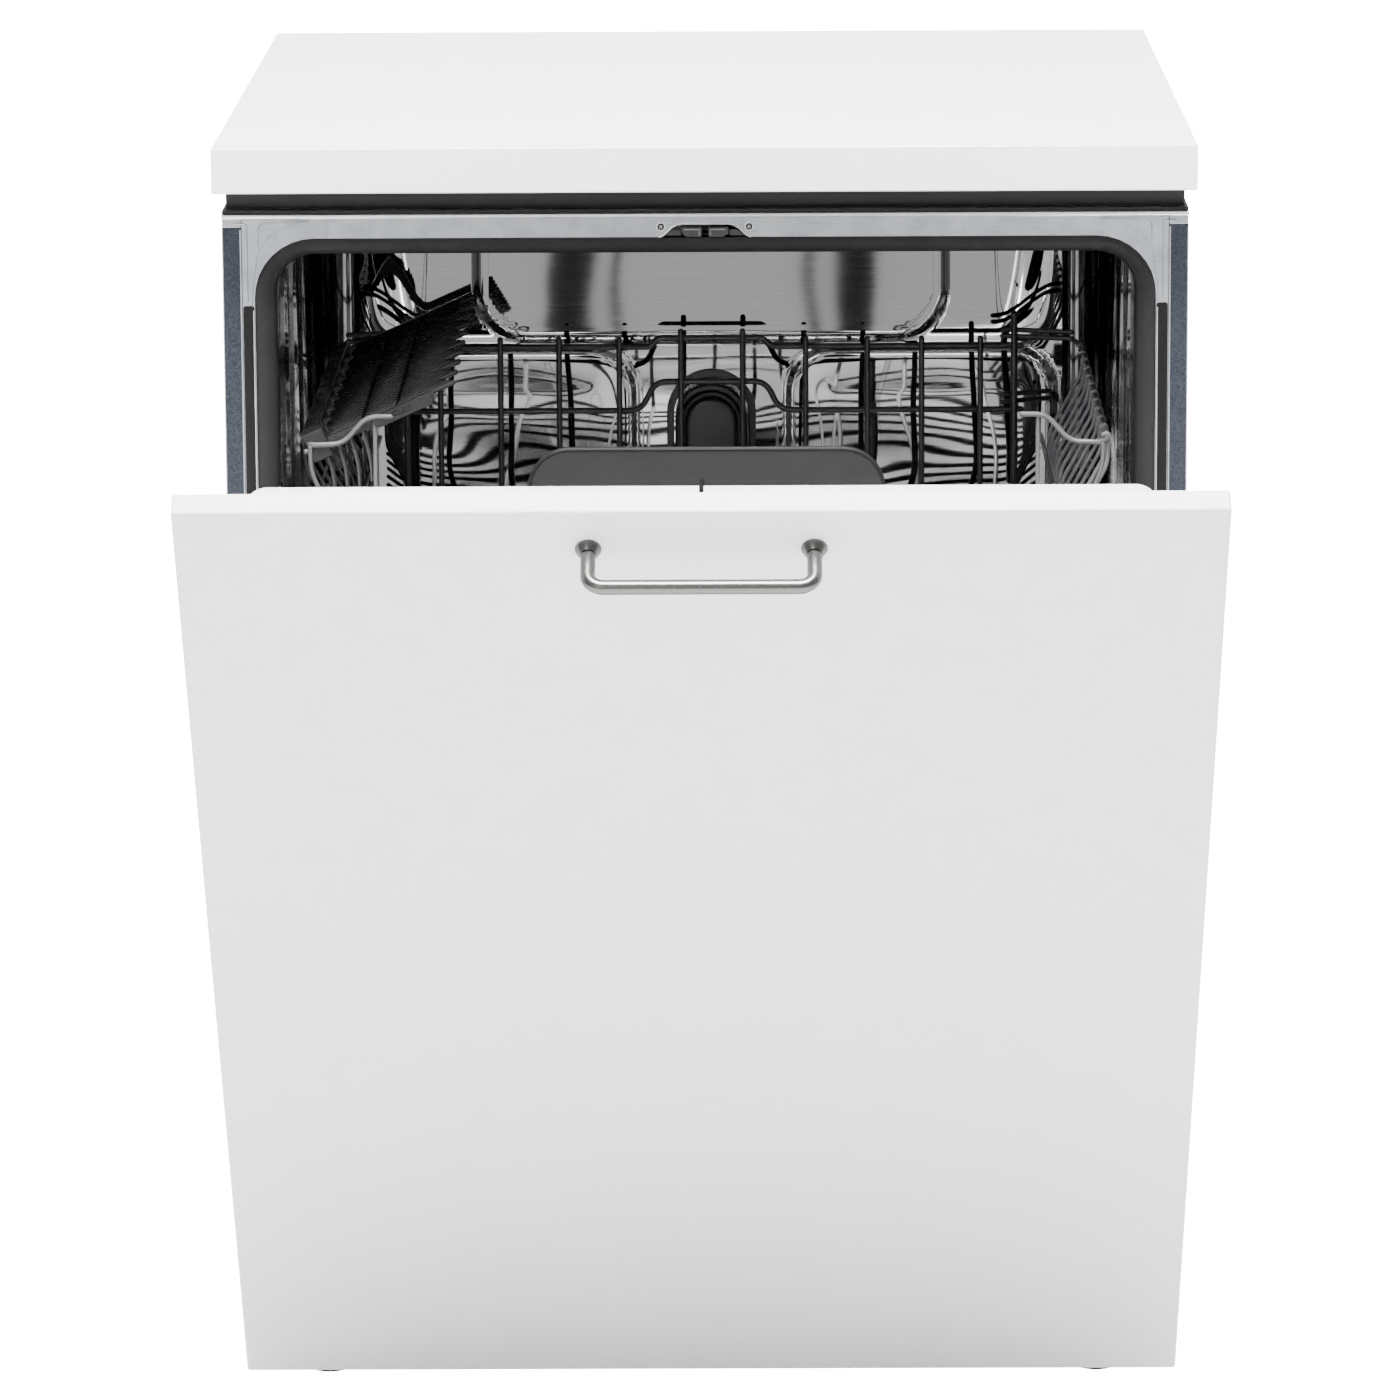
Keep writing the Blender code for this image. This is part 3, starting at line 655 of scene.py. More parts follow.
def make_frame_details():
    parts = []
    for side in (-1, 1):
        plate = sided(side, [(286.2, 799), (250, 799), (252, 796.8), (270, 789), (276.5, 778), (279.4, 762),
            (280.5, 745.5), (286.2, 745.5)])
        parts.append(prism(plate, "Y", -0.7, -0.05))
    piece("corner_plates", parts, "cabinet", *ZINC, bevel=0.3)
    lines = []
    for side in (-1, 1):
        line = sided(side, [(283.6, -0.95, 748), (283.6, -0.95, 796.2), (291.0, -0.95, 796.2)])
        lines.append(bent(line, 2.0, 6, 0.55, 8))
        inner = sided(side, [(276.5, -0.95, 782), (276.5, -0.95, 796.8), (245, -0.95, 797.4)])
        lines.append(bent(inner, 5.0, 6, 0.45, 8))
    piece("pressed_lines", lines, "cabinet", *ZINC)
    # The rivet rings take the lighter zinc copy: painted highlight.
    sections = (("rivet_rings", "zinc_painted_highlight", [(2.9, 0.2), (2.8, -0.4), (2.2, -0.5), (2.1, 0.2)]),
        ("rivet_holes", "black", [(2.2, -0.1), (1.9, -0.45), (0.4, -0.45)]),
        ("rivets", "mid_grey", [(1.2, -0.3), (1.0, -0.85), (0.3, -0.95)]))
    for name, mat, section in sections:
        pair = [turned(section, "Y", (x, 793.5), 24, name == "rivet_rings") for x in (-27.3, 27.3)]
        piece(name, pair, "cabinet", "galvanised", mat, angle=40)
    case = [(3.3, 788), (8, 788), (8, 792.6), (46, 792.6), (46, 800.4), (3.3, 800.4)]
    obj = piece("latch_case", prism(case, "X", -26, 26), "cabinet", "grey_plastic", "dark",
        ("latch_housing",), bevel=0.5)
    cut(obj, [block(-3.2, 3.2, -3, 41, 787, 799.9)])
    tabs = []
    for side in (-1, 1):
        tab = sided(side, [(2.0, 793.2), (2.0, 787.6), (2.6, 787.0), (11.2, 787.0), (13.6, 788.6),
            (14.4, 791.0), (14.4, 793.2)])
        tabs.append(prism(tab, "Y", -0.8, 3.1))
        shoulder = sided(side, [(15.0, 787.6), (25.6, 787.6), (20.6, 791.4), (15.0, 791.8)])
        tabs.append(prism(shoulder, "Y", 1.2, 3.1))
    piece("latch_tabs", tabs, "cabinet", "grey_plastic", "dark", bevel=0.5)
    # Lighter lines along the dark tabs' pressed edges: painted highlights.
    lines = []
    for side in (-1, 1):
        line = sided(side, [(3.4, -0.95, 788.4), (3.4, -0.95, 791.8), (12.4, -0.95, 791.8)])
        lines.append(wire(line, 0.35, 6))
    piece("latch_tab_painted_highlights", lines, "cabinet", *GREY)
    # Thin lighter strips along both edges of the dark side flanges: painted highlights.
    edges = []
    for side in (-1, 1):
        for near, far in ((287.0, 288.0), (298.2, 299.0)):
            edges.append(block(*sorted((side * near, side * far)), -0.5, 0.4, 146, 792.5))
    piece("flange_painted_highlights", edges, "cabinet", "dark_galvanised", "frame_zinc", bevel=0.2)
    strip = block(-297, 297, 11.2, 31, 801.2, 819.6)
    obj = piece("top_strip", strip, "cabinet", "black_plastic", "black", ("trim_strip",), bevel=0.9)
    cut(obj, [block(-25, 25, 9, 15, 799, 803.2)])
    rib = [wire([(-296, 11.3, 814.6), (296, 11.3, 814.6)], 0.5, 8),
        wire([(-23, 11.2, 803.4), (23, 11.2, 803.4)], 0.5, 8)]
    piece("top_strip_rib", rib, "cabinet", "black_plastic", "black")


# --------------------- washing parts

def make_duct():
    def arch(half, top, low):
        return [(-half, low), (half, low)] + arc(0, top - half, half, 0, 180, 24)

    outer = prism(arch(25, 611, 190), "Y", 522, 541.5)
    obj = piece("duct_shell", outer, "cabinet", "dark_plastic", "gloss_dark", ("feed_duct",), bevel=2.0,
        segments=4)
    cut(obj, [prism(arch(21, 605.5, 205), "Y", 515, 527)])
    inner = prism(arch(18.6, 602, 215), "Y", 520.5, 528)
    piece("duct_dome", inner, "cabinet", "dark_plastic", "gloss_dark", bevel=5.5, segments=7)
    flange = pipe_prism(arch(31, 619, 192), arch(26, 612.5, 195), "Y", 538.5, 541.5)
    piece("duct_flange", flange, "cabinet", "dark_plastic", "gloss_dark", bevel=0.8)


def arm_outline(y):
    """Spray arm seen from above: half width and sweep at each distance from its hub."""
    spine = ((30, 24.5, 0.5), (70, 23, 2), (105, 22, 3.4), (140, 20, 5), (170, 18, 7.5), (195, 16, 10),
        (208, 13, 12.5), (215, 8, 14))
    outline = [(-x, y - c - w) for x, w, c in reversed(spine)] + [(0, y - 24.6)]
    outline += [(x, y + c - w) for x, w, c in spine]
    outline += [(x, y + c + w) for x, w, c in reversed(spine)] + [(0, y + 24.6)]
    outline += [(-x, y - c + w) for x, w, c in spine]
    return outline


def make_spray_arm(name, y, low, high, hub_low, hub_high):
    blade = prism(arm_outline(y), "Z", low, high)
    piece(name + "_blade", blade, name, *GREY, (name,), bevel=2.2, segments=3)
    hub = [(12, hub_low), (17, hub_low), (17.5, hub_low + 4), (19, high - 1), (19, high + 1.5),
        (16, hub_high), (12, hub_high)]
    piece(name + "_hub", turned(hub, "Z", (0, y), 40, True), name, *GREY, angle=40)
    jets = []
    for side in (-1, 1):
        for x, c in ((48, -7), (88, 9), (122, -3), (152, 8), (178, 2), (199, 13)):
            centre = (side * x, y + side * c)
            ring = [(1.6, high - 0.2), (3.6, high - 0.2), (3.2, high + 1.1), (1.6, high + 1.1)]
            jets.append(turned(ring, "Z", centre, 16, True))
    piece(name + "_jets", jets, name, "grey_plastic", "dark", angle=40)
    ribs = []
    for side in (-1, 1):
        ribs.append(wire([(side * 24, y - side * 3, high + 0.1), (side * 110, y + side * 1, high + 0.1),
            (side * 190, y + side * 6, high + 0.1)], 1.3, 8))
    piece(name + "_ribs", ribs, name, *GREY)


FILTER = (0, 300)
SALT_CAP = (-180, 430)
FLOAT = (210, 110)


def make_sump_parts():
    plate = [(31, 159.2), (66, 158.2), (70, 157.8), (70, 159.6), (66, 160.1), (33, 160.2), (31, 160.0)]
    piece("filter_plate", turned(plate, "Z", FILTER, 48, True), "filter_cup", *GREY, ("filter_cup",),
        angle=50)
    wall = [(30.2, 93), (33, 93), (34.5, 120), (35.5, 150), (35, 159), (31, 159), (31, 150)]
    piece("filter_wall", turned(wall, "Z", FILTER, 48, True), "filter_cup", *GREY, angle=50)
    mesh_rings = []
    for r in (40, 45, 50, 55, 60):
        ring = [(r - 0.6, 160.1), (r + 0.6, 160.1), (r + 0.6, 160.5), (r - 0.6, 160.5)]
        mesh_rings.append(turned(ring, "Z", FILTER, 48, True))
    for k in range(36):
        c, s = polar(1.0, k * 10)
        mesh_rings.append(wire([(37 * c, 300 + 37 * s, 160.2), (63 * c, 300 + 63 * s, 160.2)], 0.5, 6))
    piece("filter_mesh", mesh_rings, "filter_cup", "grey_plastic", "bright_wire")
    floor = turned([(0.5, 91.8), (33, 91.8), (33, 94), (0.5, 94)], "Z", FILTER, 48)
    piece("filter_floor", floor, "filter_cup", *GREY, angle=40)
    cap = [(22, 160.4), (33, 160.4), (33, 161.5), (31.5, 163), (31.5, 167.5), (30, 169.4), (13, 170.2)]
    piece("salt_lid", turned(cap, "Z", SALT_CAP, 48), "salt_cap", "white_plastic", "white", ("salt_cap",),
        angle=35)
    grip = []
    for k in range(24):
        x, y = polar(31.6, k * 15, SALT_CAP)
        grip.append(wire([(x, y, 163.2), (x, y, 168.2)], 1.0, 8))
    grip.append(prism(rounded(-196, -164, 427, 433, 2.8, 6), "Z", 169.5, 174.6))
    piece("salt_grip", grip, "salt_cap", "white_plastic", "white", bevel=0.6)
    dome = [(5, 160.5), (5, 167), (19.5, 167.2), (20, 168.2), (18.6, 173.5), (15, 176.2), (9, 177.6)]
    piece("float_dome", turned(dome, "Z", FLOAT, 40), "float", "white_plastic", "mid_grey", ("float",),
        angle=50)


FEET = (("front_left", -255, 202), ("front_right", 255, 202), ("back_left", -255, 515),
        ("back_right", 255, 515))


def make_feet():
    for label, x, y in FEET:
        name = "foot_" + label
        pad = [(13.6, 0.0), (15.2, 0.8), (15.5, 2.0), (15.5, 5.0), (14.6, 6.4), (9.2, 8.2), (8, 9.2),
            (6, 9.6)]
        piece(name + "_pad", turned(pad, "Z", (x, y), 40), "cabinet", "black_plastic", "base_black",
            (name,), angle=40)
        thread = [(4.0, 8.8)]
        z = 9.6
        while z < 90:
            thread += [(5.2, z), (6.0, z + 0.9), (5.2, z + 1.8)]
            z += 2.2
        thread.append((4.0, z))
        piece(name + "_thread", turned(thread, "Z", (x, y), 24), "cabinet", "black_plastic", "bright_wire",
            angle=20)
        nut = prism(circle(x, y, 10.2, 6), "Z", 10.2, 15.5)
        piece(name + "_nut", nut, "cabinet", "black_plastic", "bright_wire", bevel=0.8)


# --------------------- upper basket

BACK_Y = 440.0
BACK_BARS = (-184, -143, -103, -62, 65, 107, 144, 184)


def make_upper_basket():
    # The front and side wires take one lighter grey, and the right-hand ribs another, than the rest of the
    # same coated wire: painted light.
    light = []
    ribs = {-1: [], 1: []}
    for side in (-1, 1):
        rim = sided(side, [(197, 20, 672), (212, 20, 672), (227, 19, 655), (246, 17.5, 654.5),
            (251, 24, 655), (251, 405, 655), (246, 428, 656), (232, 438, 657)])
        light.append(bent(rim, 7.0, 8, 1.75, 12))
        post = sided(side, [(207, 21.5, 671), (207, 21.5, 545), (201, 26, 512)])
        light.append(bent(post, 14.0, 6, 1.35, 10))
        edge = sided(side, [(247.5, 18, 653), (247.5, 19, 638), (236, 21.5, 612), (228, 21.5, 545),
            (220, 26, 510)])
        light.append(bent(edge, 14.0, 6, 1.35, 10))
        y = 34.0
        while y < 400:
            rib = sided(side, [(248.6, y, 656.5), (251.2, y, 657.6), (252.4, y, 655), (251, y, 637),
                (230, y, 599), (226.8, y, 545), (206, y, 507)])
            ribs[side].append(bent(rib, 6.0, 4, 1.45 if side > 0 else 1.2, 8))
            y += 33.0
        light.append(wire([(side * 225.2, 22, 590), (side * 225.2, 430, 590)], 1.5, 10))
    piece("basket_side_wires", light, "upper_basket", "coated_wire", "wire_light", ("upper_basket",))
    # The right-hand ribs are a piece of their own only so that they take the lighter grey: painted light.
    piece("basket_right_ribs", ribs[1], "upper_basket", "coated_wire", "wire_mid")
    dark = ribs[-1]
    top = [(-226, BACK_Y, 650), (-40, BACK_Y, 650), (-36, BACK_Y, 656), (36, BACK_Y, 656),
        (41, BACK_Y, 650), (212, BACK_Y, 650)]
    dark.append(bent(top, 4.5, 6, 2.2, 12))
    low = [(-226, BACK_Y, 606), (-47, BACK_Y, 606), (-38, BACK_Y, 626), (38, BACK_Y, 626),
        (47, BACK_Y, 606), (212, BACK_Y, 606)]
    dark.append(bent(low, 9.0, 7, 2.1, 12))
    for x in BACK_BARS:
        post = [(x, BACK_Y - 3, 655.5), (x, BACK_Y - 3, 530), (x * 0.97, BACK_Y - 12, 508)]
        dark.append(bent(post, 14, 6, 2.05, 12))
    for x in (-20, 22):
        dark.append(wire([(x, BACK_Y - 3, 661), (x, BACK_Y - 3, 540)], 2.05, 12))
    for side in (-1, 1):
        dark.append(wire([(side * 207, BACK_Y - 4, 672), (side * 207, BACK_Y - 4, 520)], 2.4, 14))
        for x, dy, z in ((246, -14, 661), (246, -14, 656.5), (232, 16, 616), (232, 16, 611)):
            dark.append(wire([(side * 199, BACK_Y + 1, z), (side * x, BACK_Y + dy, z)], 1.7, 10))
    for k in range(11):
        y = 44 + k * 39.0
        hump = [(-226, y, 520), (-205, y, 506), (205, y, 506), (226, y, 520)]
        dark.append(bent(hump, 18, 5, 1.6, 8))
    for k in range(9):
        x = -196 + k * 49
        run = [(x, 22, 560), (x, 22, 512), (x, 30, 508.8), (x, BACK_Y - 12, 508.8)]
        dark.append(bent(run, 12, 5, 1.6, 8))
    for z in (545, 596):
        dark.append(wire([(-208, 22.5, z), (208, 22.5, z)], 1.6, 10))
    for x in (-60, 30, 120):
        for k in range(11):
            y = 60 + k * 31.5
            prong = [(x, y - 8, 508), (x, y, 566), (x, y + 8, 508)]
            dark.append(bent(prong, 16, 8, 1.4, 8))
    piece("basket_dark_wires", dark, "upper_basket", *DARK_WIRE)
    plate = prism(rounded(-112, 112, 575, 653, 27, 14), "Y", 12.9, 17.6)
    obj = piece("basket_plate", plate, "upper_basket", "dark_plastic", "plate_dark",
        ("basket_handle_plate",), bevel=1.4, segments=3)
    cut(obj, [prism(rounded(-70, 70, 590, 626, 12, 8), "Y", 10, 20)])
    rim = [(x, 12.9, z) for x, z in rounded(-110.6, 110.6, 576.4, 651.6, 25.6, 14)]
    piece("basket_plate_rim", wire(rim + rim[:1], 0.8, 8), "upper_basket", "dark_plastic", "black")
    clips = []
    for x in (-92, -30, 30, 92):
        low, high = (606, 624) if abs(x) > 80 else (629, 644)
        clips.append(prism(rounded(x - 5, x + 5, low, high, 2, 4), "Y", 17.6, 24.5))
    piece("plate_clips", clips, "upper_basket", "dark_plastic", "dark", bevel=0.8)
    rollers = []
    for side in (-1, 1):
        for y in (70, 250, 400):
            roller = [(3, side * 249), (9, side * 250), (9, side * 256), (3, side * 257)]
            rollers.append(turned(roller, "X", (y, 581), 24))
    piece("basket_rollers", rollers, "upper_basket", "dark_plastic", "mid_grey", bevel=0.5)


def make_cup_shelf():
    a = math.radians(24.0)

    # The shelf's own frame: u up along its slope, v square to it.
    def at(u, y, v=0.0):
        return (-250 + u * math.cos(a) - v * math.sin(a), y, 650 + u * math.sin(a) + v * math.cos(a))

    def bar(u0, u1, y0, y1, v0, v1):
        low = [at(u0, y0, v0), at(u1, y0, v0), at(u1, y1, v0), at(u0, y1, v0)]
        high = [at(u0, y0, v1), at(u1, y0, v1), at(u1, y1, v1), at(u0, y1, v1)]
        return loft([low, high])

    ribs = []
    for u in (14, 38, 62, 84):
        ribs.append(bar(u - 1.8, u + 1.8, 24, 410, -4.2, 0.2))
    for k in range(38):
        y = 29.0 + k * 10.2
        tip = 101.0 - 3.4 * (k % 4)
        for u0, u1 in ((12, 35.5), (40, 59.5), (64, tip)):
            ribs.append(wire([at(u0, y, 1.0), at(u1, y, 1.0)], 1.7, 8))
    ribs.append(bar(12, 88, 22, 26, -3.2, 2.4))
    ribs.append(bar(12, 88, 408, 412, -3.2, 2.4))
    piece("shelf_slats", ribs, "cup_shelf", "dark_plastic", "shelf_black", ("cup_shelf",))
    # The hinge strip is dark plastic but takes the lighter wire grey: painted light on it.
    bracket = [bar(-3, 8.5, 42, 412, -0.4, 7.0)]
    for k in range(9):
        y = 50 + k * 42
        bracket.append(bar(-4.5, 14, y, y + 7, 0.0, 5.0))
    piece("shelf_hinge_strip", bracket, "cup_shelf", "dark_plastic", "wire_light", bevel=0.9)
    piece("shelf_bracket", bar(1, 15, 19, 40, -9, 10), "cup_shelf", "dark_plastic", "plate_dark", bevel=1.2)
    front = prism(rounded(46, 86, -5, 2.6, 2.8, 5), "Y", 19.2, 22.2)
    slot = prism(rounded(59, 72, -3, 1, 1.9, 5), "Y", 18, 24)
    turn = [[at(u, y, v) for u, y, v in shape[0]] for shape in (front, slot)]
    obj = piece("shelf_end", (turn[0], front[1]), "cup_shelf", "dark_plastic", "plate_dark", bevel=0.5)
    cut(obj, [(turn[1], slot[1])])
    comb = []
    for k in range(4):
        u = 12 + k * 8.5
        comb.append(bent([at(u, 24, -3), at(u - 3, 24, -22), at(u - 8, 26, -34)], 6, 4, 1.5, 8))
    piece("shelf_comb", comb, "cup_shelf", "dark_plastic", "shelf_black")
    # The pin is dark plastic too and takes the same lighter grey: painted light.
    piece("shelf_pin", wire([at(0, 20, 0), at(0, 412, 0)], 1.9, 12), "cup_shelf", "dark_plastic",
        "wire_light")


# --------------------- lower basket

AXLE_Z = 178.6
AXLES = ((115, "front"), (440, "back"))


def make_lower_basket():
    dark = []
    for z, r in ((380, 2.4), (330, 1.6), (264, 1.6), (214, 2.0)):
        ring = [(x, y, z) for x, y in rounded(-235, 235, 39, 507, 26, 8)]
        dark.append(wire(ring + ring[:2], r, 10, False))
    for k in range(17):
        x = -208 + k * 26
        run = [(x, 39.5, 379), (x, 39.5, 206), (x, 52, 199.5), (x, 495, 199.5), (x, 506.5, 206),
            (x, 506.5, 379)]
        dark.append(bent(run, 12, 5, 1.5, 8))
    for k in range(17):
        y = 66 + k * 26
        run = [(-234.5, y, 379), (-234.5, y, 206), (-222, y, 202.6), (222, y, 202.6), (234.5, y, 206),
            (234.5, y, 379)]
        dark.append(bent(run, 12, 5, 1.5, 8))
    for row in (95, 150, 205, 260, 385, 440):
        for k in range(10):
            x = -209.5 + k * 29
            prong = [(x, row, 204), (x, row, 268), (x, row + 6, 276)]
            dark.append(bent(prong, 6, 3, 1.5, 8))
        dark.append(wire([(-220, row, 205), (62, row, 205)], 1.6, 8))
    piece("lower_wires", dark, "lower_basket", *DARK_WIRE, ("lower_basket",))
    grip = [(-70, 38, 381), (-62, 36.5, 392), (62, 36.5, 392), (70, 38, 381)]
    piece("lower_grip", bent(grip, 8, 6, 3.0, 14), "lower_basket", *DARK_WIRE)
    comb = [wire([(-207, 320, 205.4), (72, 320, 205.4)], 2.4, 12)]
    for i in range(10):
        x = 66 - i * 29
        prong = [(x - 2.5, 320, 206), (x - 2.5, 320, 284), (x, 320, 289), (x + 2.5, 320, 284),
            (x + 2.5, 320, 206)]
        comb.append(bent(prong, 2.4, 4, 1.5, 8))
    piece("tine_row", comb, "plate_tines", *DARK_WIRE, ("plate_tines",))
    for side, hand in ((-1, "left"), (1, "right")):
        low, high = sorted((side * 238.9, side * 240.9))
        skirt = [(107, 170.8), (123, 170.8), (137, 199), (150, 204), (405, 204), (418, 199), (432, 170.8),
            (448, 170.8), (461, 211.5), (94, 211.5)]
        carrier = [prism(skirt, "X", low, high)]
        axle = [(3.8, side * 239.5), (3.8, side * 251.4), (2.6, side * 252)]
        carrier += [turned(axle, "X", (y, AXLE_Z), 20) for y, _ in AXLES]
        piece("carrier_" + hand, carrier, "lower_basket", *GREY, ("wheel_carrier_" + hand,), bevel=0.4)
        for y, row in AXLES:
            name = "wheel_" + row + "_" + hand
            tyre = [(12.6, side * 242), (16.6, side * 241.6), (17.9, side * 243), (17.9, side * 249),
                (16.6, side * 250.4), (12.6, side * 250)]
            piece(name + "_tread", turned(tyre, "X", (y, AXLE_Z), 48, True), name, *GREY, (name,), angle=40)
            boss = [(4.3, side * 241.8), (7.2, side * 241.8), (7.2, side * 250.2), (4.3, side * 250.2)]
            hub = [turned(boss, "X", (y, AXLE_Z), 32, True)]
            for k in range(6):
                c, w = polar(1.0, 60 * k)
                spoke = []
                for x in (side * 244.2, side * 247.8):
                    ring = []
                    for along, across in ((6.6, -1.4), (13.2, -1.4), (13.2, 1.4), (6.6, 1.4)):
                        ring.append((x, y + along * c - across * w, AXLE_Z + along * w + across * c))
                    spoke.append(ring)
                hub.append(loft(spoke))
            piece(name + "_hub", hub, name, *GREY, bevel=0.3)


def make_cutlery_basket():
    parts = []
    for z0, z1 in ((206, 210), (264, 268), (325, 330)):
        outer = rounded(118, 212, 62, 290, 8, 6)
        inner = rounded(121, 209, 65, 287, 6, 6)
        parts.append(pipe_prism(outer, inner, "Z", z0, z1))
    parts.append(prism(rounded(120.5, 209.5, 64.5, 287.5, 6, 6), "Z", 206.2, 207.8))
    parts.append(block(120.5, 209.5, 174.5, 177.5, 207.8, 326))
    outline = rounded(119.6, 210.4, 63.6, 288.4, 6.8, 2)
    for (x0, y0), (x1, y1) in zip(outline, outline[1:] + outline[:1]):
        gap = math.hypot(x1 - x0, y1 - y0)
        count = max(1, round(gap / 7.5))
        for k in range(count):
            f = k / count
            x, y = x0 + (x1 - x0) * f, y0 + (y1 - y0) * f
            parts.append(wire([(x, y, 207), (x, y, 327)], 1.25, 6, False))
    piece("cutlery_cage", parts, "cutlery_basket", *GREY, ("cutlery_basket",))
    bail = [(165, 62, 318), (165, 61, 350), (165, 74, 363), (165, 278, 363), (165, 291, 350),
        (165, 290, 318)]
    piece("cutlery_bail", bent(bail, 14, 8, 3.2, 14), "cutlery_basket", *GREY)
    ears = [block(158, 172, 59.3, 62.2, 312, 329), block(158, 172, 289.8, 292.7, 312, 329)]
    piece("cutlery_ears", ears, "cutlery_basket", *GREY, bevel=0.8)


# --------------------- door

BUTTON = (-190, -4.0)
RINSE_CAP = (42, 495)


def make_door():
    rings = []
    steps = ((250, 183, 761, 7.5, 30), (253.5, 179.5, 764.5, 3, 33), (253.5, 179.5, 764.5, -2.9, 33),
        (293.8, 168.2, 778.8, -2.9, 6), (293.8, 168.2, 778.8, -1.6, 6), (258, 175, 769, -1.6, 36),
        (255.6, 177.4, 766.6, -0.4, 34), (254.6, 178.4, 765.6, 4, 33), (252.6, 180.4, 763.6, 7.6, 31),
        (249, 184, 760, 9, 28))
    for x, low, high, y, r in steps:
        rings.append([(u, y, v) for u, v in rounded(-x, x, low, high, r, 10)])
    obj = piece("liner_pressing", on_door(loft(rings)), "door", "stainless", "liner_steel", ("door_liner",),
        angle=50)
    cut(obj, [on_door(block(-80.3, 80.3, 5, 12, 429.7, 560.3))])
    beads = []
    for z in (250, 330, 640, 700):
        beads.append(wire([(-200, 8.4, z), (200, 8.4, z)], 2.4, 12))
    for side in (-1, 1):
        ring = sided(side, [(140, 8.4, 420), (215, 8.4, 420), (215, 8.4, 570), (140, 8.4, 570)])
        ring = filleted(ring, 26, 8, closed=True)
        beads.append(wire(ring + ring[:2], 2.4, 12, False))
    piece("liner_beads", on_door(beads), "door", "stainless", "liner_steel")
    lip = []
    for inset, z in ((1.2, 805.6), (0, 806.8), (0, 816.0), (0.5, 817.0), (1.6, 817.4)):
        outline = rounded(-258 + inset, 258 - inset, -14.9, 9 - inset, 11.5 - inset, 10)
        lip.append([place(p, z, "Z") for p in outline])
    obj = piece("fascia_top", on_door(loft(lip)), "door", *PALE, ("control_fascia",), angle=40)
    well = turned([(6.5, 809.5), (6.5, 822)], "Z", BUTTON, 32)
    display = prism(rounded(-40, 70, -11.5, 2.5, 2, 5), "Z", 816.8, 820)
    cut(obj, [on_door(well), on_door(display)])
    core = block(-289.8, 289.8, -14.8, -1.9, 781.2, 805.6)
    piece("fascia_body", on_door(core), "door", *PALE, bevel=1.2)
    glass = prism(rounded(-39.4, 69.4, -10.9, 1.9, 1.6, 5), "Z", 816.2, 817.3)
    piece("display_window", on_door(glass), "door", "light_plastic", "window", bevel=0.25)
    keys = []
    for k in range(5):
        x = 98 + k * 26
        keys.append(prism(rounded(x - 9, x + 9, -9, 0, 2, 5), "Z", 816.6, 817.45))
    piece("touch_keys", on_door(keys), "door", "button_plastic", "mid_grey", bevel=0.3)
    cap = [(5.9, 812.4), (5.9, 816.4), (5.6, 817.0), (4.8, 817.3), (0.6, 817.0)]
    piece("power_cap", on_door(turned(cap, "Z", BUTTON, 40)), "power_button", "button_plastic", "mid_grey",
        ("power_button",), angle=40)
    ring = []
    for k in range(33):
        ring.append((*polar(2.6, -60 + k * 300 / 32 + 150, BUTTON), 817.25))
    mark = [wire(ring, 0.28, 6), wire([(-190, -4, 817.25), (-190, -1.2, 817.25)], 0.28, 6)]
    piece("power_mark", on_door(mark), "power_button", "button_plastic", "white")
    hook = [(-1.6, 789.2), (36, 789.2), (36, 794.4), (29, 794.4), (29, 792.2), (-1.6, 794.4)]
    striker = [prism(hook, "X", -1.4, 1.4), block(-9, 9, -2.3, -1.45, 784, 799)]
    piece("striker_hook", on_door(striker), "door", "striker_steel", "matt_black", ("striker",), bevel=0.5)
    fin = block(-1.3, 1.3, -8, 8.6, 817.2, 819.4)
    piece("fascia_fin", on_door(fin), "door", "striker_steel", "matt_black", bevel=0.3)
    screws = []
    for side in (-1, 1):
        for z in (200, 360, 520, 700):
            screws.append(turned([(4.2, -1.7), (3.9, -1.1), (2.2, -0.85)], "Y", (side * 267.5, z), 24))
    piece("liner_screws", on_door(screws), "door", "stainless", "bright_wire", angle=40)


def make_dispenser():
    outer = rounded(-86, 86, 424, 566, 8, 8)
    inner = rounded(-78, 78, 432, 558, 5, 8)
    rim = pipe_prism(outer, inner, "Y", 9.3, 10.7)
    piece("dispenser_rim", on_door(rim), "door", *GREY, ("dispenser_housing",), bevel=0.5)
    body = block(-79.8, 79.8, -10, 9.9, 430.2, 559.8)
    obj = piece("dispenser_body", on_door(body), "door", *GREY, bevel=0.6)
    cup = prism(rounded(-70, 0, 442, 548, 10, 8), "Y", -7, 15)
    tank = turned([(15, -6), (15, 15)], "Y", RINSE_CAP, 40)
    dish = prism(rounded(10, 74, 442, 470, 6, 8), "Y", 5, 15)
    cut(obj, [on_door(cup), on_door(tank), on_door(dish)])
    lid = prism(rounded(-74, 4, 438, 552, 8, 8), "Y", 11.1, 13.4)
    piece("dispenser_door", on_door(lid), "dispenser_lid", *PALE, ("dispenser_lid",), bevel=0.7, segments=3)
    ribs = [prism(rounded(-66, -4, 446, 450, 1.8, 5), "Y", 13.3, 14.1),
        prism(rounded(-66, -4, 540, 544, 1.8, 5), "Y", 13.3, 14.1),
        prism(rounded(-12, -5, 484, 506, 3, 6), "Y", 13.3, 15.6)]
    piece("dispenser_ribs", on_door(ribs), "dispenser_lid", *PALE, bevel=0.4)
    cap = [(19, 11.1), (19, 12.4), (18.2, 13.2), (9, 13.2)]
    piece("rinse_disc", on_door(turned(cap, "Y", RINSE_CAP, 48)), "rinse_cap", "light_plastic", "mid_grey",
        ("rinse_cap",), angle=40)
    grip = prism(rounded(28, 56, 492.4, 497.6, 2.4, 6), "Y", 13.0, 16.6)
    piece("rinse_grip", on_door(grip), "rinse_cap", "light_plastic", "mid_grey", bevel=0.7)


